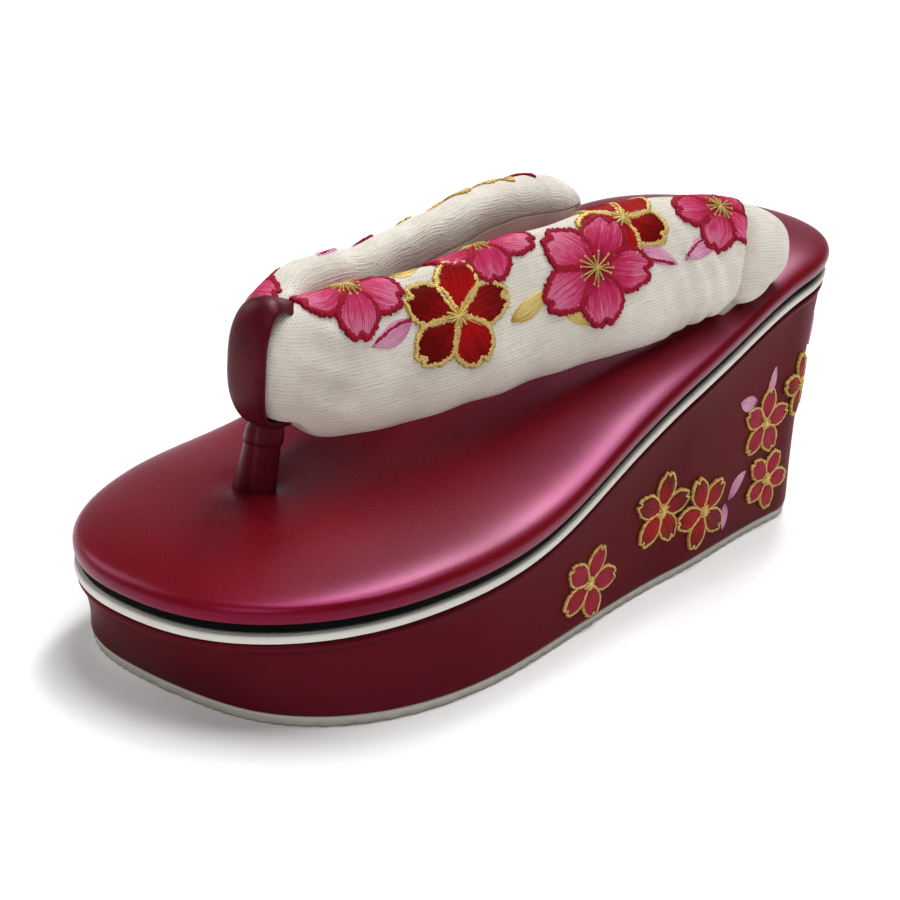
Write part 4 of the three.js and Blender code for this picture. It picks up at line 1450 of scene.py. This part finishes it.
def thread_material(name, stops, groove_shade, shine, roughness, metallic=0.0, spread=0.3, petals=0.0):
    """Threads with a shade each, a slow change from base to tip, and painted shade between them.

    stops are the colours from base to tip. spread is how far one thread's shade may move along
    them, and petals how far a whole petal's may.
    """
    material, output = new_material(name)
    place = cloth_place(material)
    split = add(material, "ShaderNodeSeparateXYZ", None, Vector=place)
    number = maths(material, "FLOOR", split.outputs["X"])
    shade = add(material, "ShaderNodeTexWhiteNoise", {"noise_dimensions": "1D"}, W=number)
    streak = stretched(material, place, 0.9, 0.22, 2.0)
    shifted = maths(material, "MULTIPLY_ADD", shade.outputs["Value"], spread)
    shifted.node.inputs[2].default_value = -spread / 2
    patch = maths(material, "MULTIPLY", split.outputs["X"], 1 / PATCH_STEP)
    petal = maths(material, "FLOOR", patch)
    own = add(material, "ShaderNodeTexWhiteNoise", {"noise_dimensions": "1D"}, W=petal)
    own_shift = maths(material, "MULTIPLY_ADD", own.outputs["Value"], petals)
    own_shift.node.inputs[2].default_value = -petals / 2
    moved = maths(material, "ADD", maths(material, "ADD", split.outputs["Y"], shifted), own_shift)
    streaks = maths(material, "MULTIPLY", maths(material, "SUBTRACT", streak, 0.5), STREAK)
    mixed = maths(material, "ADD", moved, streaks)
    body = ramp(material, mixed, [(place_at, linear(hex_)) for place_at, hex_ in stops])
    turn = maths(material, "MULTIPLY", split.outputs["X"], 2 * math.pi)
    ridge = maths(material, "COSINE", turn)
    # Painted shade: the colour darkens towards the groove colour in the groove between two threads.
    low = ramp(material, maths(material, "MULTIPLY_ADD", ridge, 0.5),
               [(0.0, grey(0)), (0.5, grey(0.55))])
    colour = blend(material, low, body, linear(groove_shade))
    bump = add(material, "ShaderNodeBump", {"invert": True}, Strength=0.5, Distance=0.00012,
               Height=ridge)
    return finish_material(material, output, Base_Color=colour, Roughness=roughness,
                           Metallic=metallic, Specular_IOR_Level=0.1,
                           Specular_Tint=linear(shine), Normal=bump.outputs["Normal"])


THREADS = {
    "pink": thread_material("rayon_thread_pink", [
        (0.0, "#980e32"), (0.25, "#c22852"), (0.6, "#d64675"), (1.0, "#e888aa")],
        "#941c40", "#ff9cc4", 0.45, petals=0.35),
    "crimson": thread_material("rayon_thread_crimson", [
        (0.0, "#981a2e"), (0.5, "#b4233c"), (1.0, "#a01a32")], "#6c0e20", "#ff5a78", 0.5),
    "deep_red": thread_material("rayon_thread_deep_red", [
        (0.0, "#c8181c"), (0.45, "#a41214"), (1.0, "#6c0a0a")], "#4a0306", "#ff6a60", 0.5,
        petals=0.9),
    "gold": thread_material("metallic_thread_gold", [
        (0.0, "#cfa850"), (0.5, "#efda98"), (1.0, "#dcbb66")], "#a08038", "#ffe9a8", 0.4, 0.3, 0.5),
    "pale_pink": thread_material("rayon_thread_pale_pink", [
        (0.0, "#cf7ba3"), (0.5, "#e2a2c0"), (1.0, "#efc4d8")], "#b7698f", "#ffd0e4", 0.38),
}
print("threads:", list(THREADS))

# %% [markdown]
# ## Flowers and leaves
#
# One function sews a flower from a row of a table. The pink ones have a crimson border and a spray
# of gold stamens. The deep red and crimson ones are edged in gold, whose stitches meet in a small
# lattice at the heart. A leaf is a filled patch, and some have a crimson line along one side.


# %% Sew one flower or leaf
PETALS = 5
FLOWER_LIFT = {"first": 0.10, "step": 0.12, "levels": 3}
PETAL_STEP = 0.03
BORDER_LIFT = 0.08
EDGE_MM = {"gold_fine": 0.62, "gold": 1.3, "silk": 1.4}
FINE_RADIUS = 11
PETAL = {"base": 0.06, "tip": 0.45, "notch": 0.13, "dome": 0.26, "half": 0.34, "half_fine": 0.29}
LATTICE = {"rays": 12, "reach": (0.14, 0.22), "start": 0.12, "width": 0.5}
STAMENS = {"rays": 14, "reach": (0.16, 0.28), "start": 0.02, "width": 0.28}
RAY_LIFT = {"first": 0.38, "step": 0.02}
KNOT = {"past": 0.3, "half": 0.28, "width": 0.42, "lift": 0.42, "crown": 0.2}


def outline_of(place, size, flower, angle):
    """The flat outline of a petal: up one side, round the tip and down the other."""
    side = np.linspace(0.0, 1, 24)
    tip = np.linspace(-1, 1, 25)[1:-1]
    u = np.concatenate([-np.ones(len(side)), tip, np.ones(len(side))])
    t = np.concatenate([side, np.ones(len(tip)), side[::-1]])
    return np.stack(turned(*place(u, t, size), flower, angle), axis=1)


def sew_flower(work, flower, lift):
    """Adds one flower's patches to work, a dictionary of lists by thread.

    Each petal is its filling and its border. A ring of single stitches at the heart makes the
    lattice of a gold-edged flower, or the stamens of another, each with a knot across its end.
    """
    gold_edge = flower["edge"] == "gold"
    radius = flower["tall"]
    fine = radius < FINE_RADIUS
    edge = EDGE_MM["gold_fine" if fine else "gold"] if gold_edge else EDGE_MM["silk"]
    size = {"base": PETAL["base"] * radius, "length": radius - PETAL["tip"] * edge,
            "notch": PETAL["notch"], "dome": PETAL["dome"],
            "half": radius * PETAL["half_fine" if fine else "half"]}
    for k in range(PETALS):
        angle = math.radians(flower["turn"] + 360 / PETALS * k + random.uniform(-3, 3))
        own = {**size, "length": size["length"] * random.uniform(0.95, 1.03),
               "half": size["half"] * random.uniform(0.94, 1.05)}
        step = lift + PETAL_STEP * k
        work[flower["thread"]].append(filled(petal_place, own, flower, angle, step))
        path = outline_of(petal_place, own, flower, angle)
        work[flower["edge"]].append(border(path, edge, step + BORDER_LIFT, 0.2 if fine else 0.34))
    heart = np.array([flower["s"], flower["w"]])
    stretch = np.array([flower["long"] / radius, 1.0])
    spray = LATTICE if gold_edge else STAMENS
    for k in range(spray["rays"]):
        angle = math.radians(flower["turn"] + 360 / spray["rays"] * k + random.uniform(-8, 8))
        ray = np.array([math.cos(angle), math.sin(angle)]) * stretch
        reach = radius * random.uniform(*spray["reach"])
        begin = heart - ray * radius * spray["start"]
        work["gold"].append(single_stitch(begin, heart + ray * reach, spray["width"],
                                          lift + RAY_LIFT["first"] + RAY_LIFT["step"] * k))
        if not gold_edge and not fine:
            knot = heart + ray * (reach + KNOT["past"])
            side = np.array([-ray[1], ray[0]]) * KNOT["half"]
            work["gold"].append(single_stitch(knot - side, knot + side, KNOT["width"],
                                              lift + KNOT["lift"], KNOT["crown"]))


def sew_leaf(work, leaf, lift):
    """Adds one leaf: a filled patch from its base to its tip, with a line along one side."""
    size = {"base": 0.0, "length": leaf["long"], "half": leaf["half"], "bend": leaf["bend"],
            "dome": 0.24}
    frame_of = {**leaf, "tall": leaf["long"]}
    angle = math.radians(leaf["turn"])
    work[leaf["thread"]].append(filled(leaf_place, size, frame_of, angle, lift))
    if leaf["line"]:
        t = np.linspace(0.02, 0.9, 24)
        side = np.stack(turned(*leaf_place(-0.55 + 0 * t, t, size), frame_of, angle), axis=1)
        work[leaf["line"]].append(border(side, 0.75, lift + 0.2, 0.2, 0.22))


# %% Sew a whole surface
def sewn(name, table, flowers, leaves):
    """Sews every motif on one surface, and makes one object for each thread."""
    work = {thread: [] for thread in THREADS}
    for leaf in leaves:
        sew_leaf(work, leaf, 0.0)
    for number, flower in enumerate(flowers):
        level = number % FLOWER_LIFT["levels"]
        sew_flower(work, flower, FLOWER_LIFT["first"] + FLOWER_LIFT["step"] * level)
    made = []
    for thread, patches in work.items():
        if not patches:
            continue
        starts = np.cumsum([0] + [len(p[0]) for p in patches])
        flat = np.concatenate([p[0] for p in patches])
        faces = [[i + start for i in face] for p, start in zip(patches, starts) for face in p[1]]
        if table["side"] < 0:
            faces = [face[::-1] for face in faces]
        made.append(new_object(f"{name}_{thread}_thread", lay_on(table, flat), faces,
                               THREADS[thread], np.concatenate([p[2] for p in patches])))
    return made


def motifs(columns, rows):
    """A table of motifs as one dictionary for each row."""
    return [dict(zip(columns, row)) for row in rows]


# %% [markdown]
# ## The pattern
#
# Cherry blossoms and leaves run along the crest of each leg, and climb the wedge's wall towards the
# heel. Each row gives a flower's place along and up the surface, its two radii, its turn in degrees
# and its threads. A leaf's row gives its length, half its width and its bend in place of the radii.
# The leg's places start at its front tip, with 0 at the middle of its outer face. The wall's places
# start at the toe tip and at the floor. Where two flowers cross, the one on the higher of three
# levels lies on top, and the levels repeat down each table.

# %% Motifs on the strap
FLOWER = ("s", "w", "long", "tall", "turn", "thread", "edge")
LEAF = ("s", "w", "long", "half", "turn", "bend", "thread", "line")

OUTER_LEG_FLOWERS = motifs(FLOWER, [
    (106.0, 14.0, 14.5, 12.0, -37, "deep_red", "gold"),
    (67.0, 20.0, 15.0, 12.5, -25, "pink", "crimson"),
    (28.0, 18.0, 15.0, 14.0, -26, "pink", "crimson"),
    (137.5, 10.0, 15.5, 13.0, -50, "pink", "crimson"),
    (53.0, 4.5, 16.0, 14.0, 2, "deep_red", "gold"),
    (93.0, 4.5, 18.0, 14.5, -17, "pink", "crimson"),
])
OUTER_LEG_LEAVES = motifs(LEAF, [
    (42.0, 17.5, 9.0, 2.2, 12, 0.5, "gold", None),
    (67.0, -1.0, 13.0, 2.4, 20, -0.6, "gold", None),
    (81.0, -1.0, 10.5, 2.5, -42, 0.6, "gold", None),
    (41.0, 6.5, 12.5, 2.6, 196, 0.5, "pale_pink", "crimson"),
    (104.5, 6.0, 15.0, 2.3, -27, 0.8, "pale_pink", "crimson"),
    (132.0, 2.0, 12.0, 2.6, 191, -0.6, "pale_pink", "crimson"),
])
INNER_LEG_FLOWERS = motifs(FLOWER, [
    (12.0, 8.0, 13.0, 12.5, 18, "pink", "crimson"),
    (100.0, 4.5, 14.0, 12.5, 10, "deep_red", "gold"),
    (34.0, -1.5, 14.0, 12.5, 40, "deep_red", "gold"),
    (122.0, 5.0, 14.0, 12.0, 55, "deep_red", "gold"),
    (54.0, 3.0, 15.0, 13.0, 20, "pink", "crimson"),
    (78.0, 1.0, 14.5, 13.0, 30, "deep_red", "gold"),
    (143.0, 4.0, 13.0, 11.5, 5, "pink", "crimson"),
])
INNER_LEG_LEAVES = motifs(LEAF, [
    (24.0, -4.0, 12.0, 2.5, 200, 0.5, "pale_pink", "crimson"),
    (40.0, 15.0, 11.0, 2.3, 160, 0.5, "pale_pink", "crimson"),
    (66.0, -4.0, 12.0, 2.4, -35, 0.6, "gold", None),
    (90.0, -5.0, 11.0, 2.3, -20, -0.5, "gold", None),
    (110.0, -4.0, 12.0, 2.4, -30, 0.6, "pale_pink", "crimson"),
])


print("strap flowers:", len(OUTER_LEG_FLOWERS), "outer,", len(INNER_LEG_FLOWERS), "inner")


# %% The wall's surface table
def wall_table():
    """The surface table of the wedge's wall: s round the outline, w up from the floor."""
    shares = np.linspace(0.03, 0.97, 50)
    plan = np.stack([OUTLINE - OUTWARD * wall_inset(t)[:, None] for t in shares], axis=1)
    height = np.stack([wall_level(t)(plan[:, i, 0], plan[:, i, 1])
                       for i, t in enumerate(shares)], axis=1)
    points = np.concatenate([plan, height[..., None]], axis=-1)
    return even_table(points, AROUND, height, 1.0, reach=(0, 72))


WALL_TABLE = wall_table()
print("wall table:", WALL_TABLE["points"].shape)

# %% Motifs on the wall
WALL_FLOWERS = motifs(FLOWER, [
    (126.5, 11.5, 13.5, 9.3, -8, "crimson", "gold"),
    (161.0, 20.0, 14.0, 10.0, 8, "deep_red", "gold"),
    (182.0, 14.5, 14.0, 10.0, 34, "deep_red", "gold"),
    (215.5, 30.5, 13.5, 10.0, 10, "crimson", "gold"),
    (219.0, 14.0, 12.5, 9.0, -12, "crimson", "gold"),
    (236.0, 37.5, 12.0, 9.5, 30, "deep_red", "gold"),
    (256.0, 24.0, 11.5, 9.5, 0, "crimson", "gold"),
    (276.0, 43.0, 11.0, 9.5, 48, "deep_red", "gold"),
    (296.0, 31.0, 10.5, 9.5, 20, "crimson", "gold"),
    (318.0, 47.0, 10.5, 9.5, -10, "deep_red", "gold"),
])
WALL_LEAVES = motifs(LEAF, [
    (209.0, 38.0, 10.0, 2.2, 172, 0.6, "pale_pink", None),
    (216.0, 37.0, 9.0, 1.8, 74, -0.4, "pale_pink", None),
    (197.5, 13.5, 11.0, 1.9, 31, 0.4, "pale_pink", None),
    (195.5, 13.0, 7.0, 1.8, -95, 0.3, "pale_pink", None),
    (242.0, 47.0, 9.0, 2.0, 65, 0.4, "pale_pink", None),
    (262.0, 33.0, 9.0, 2.0, 40, 0.4, "gold", None),
    (286.0, 50.0, 9.0, 2.0, 10, -0.4, "pale_pink", None),
    (305.0, 39.0, 9.0, 2.0, 30, 0.4, "gold", None),
])
print("wall flowers:", len(WALL_FLOWERS), "leaves:", len(WALL_LEAVES))

# %% Sew them all
embroidery = [*sewn("outer_leg", STRAP_TABLES["outer"], OUTER_LEG_FLOWERS, OUTER_LEG_LEAVES),
              *sewn("inner_leg", STRAP_TABLES["inner"], INNER_LEG_FLOWERS, INNER_LEG_LEAVES),
              *sewn("wall", WALL_TABLE, WALL_FLOWERS, WALL_LEAVES)]
print("embroidery:", {o.name: len(o.data.polygons) for o in embroidery})

# %% [markdown]
# ## Tie the pieces to the frame
#
# Nothing on this sandal moves, so every piece rides on the one body. Each piece names the solids
# that it stands for, if any, and those are hidden. Its finish slot is listed, but nothing here
# reads it.

# %% Ride and replace
PIECES = [
    *[(o, [], "strap_cotton") for o in embroidery],
    (outsole, ["outsole"], "outsole_rubber"),
    (wedge, ["wedge"], "wedge_leather"),
    (strip, ["edge_strip"], "strip_white"),
    (board, ["insole_board"], "board_black"),
    (pad, ["footbed_pad"], "pad_leather"),
    (strap, ["strap"], "strap_cotton"),
    *[(o, [], "strap_cotton") for o in (*linings.values(), *tails)],
    (band, ["toe_band"], "thong_leather"),
    (stem, ["toe_stem"], "thong_leather"),
]
for piece, nodes, slot_name in PIECES:
    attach(piece, "root")
    if nodes:
        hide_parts(*nodes)
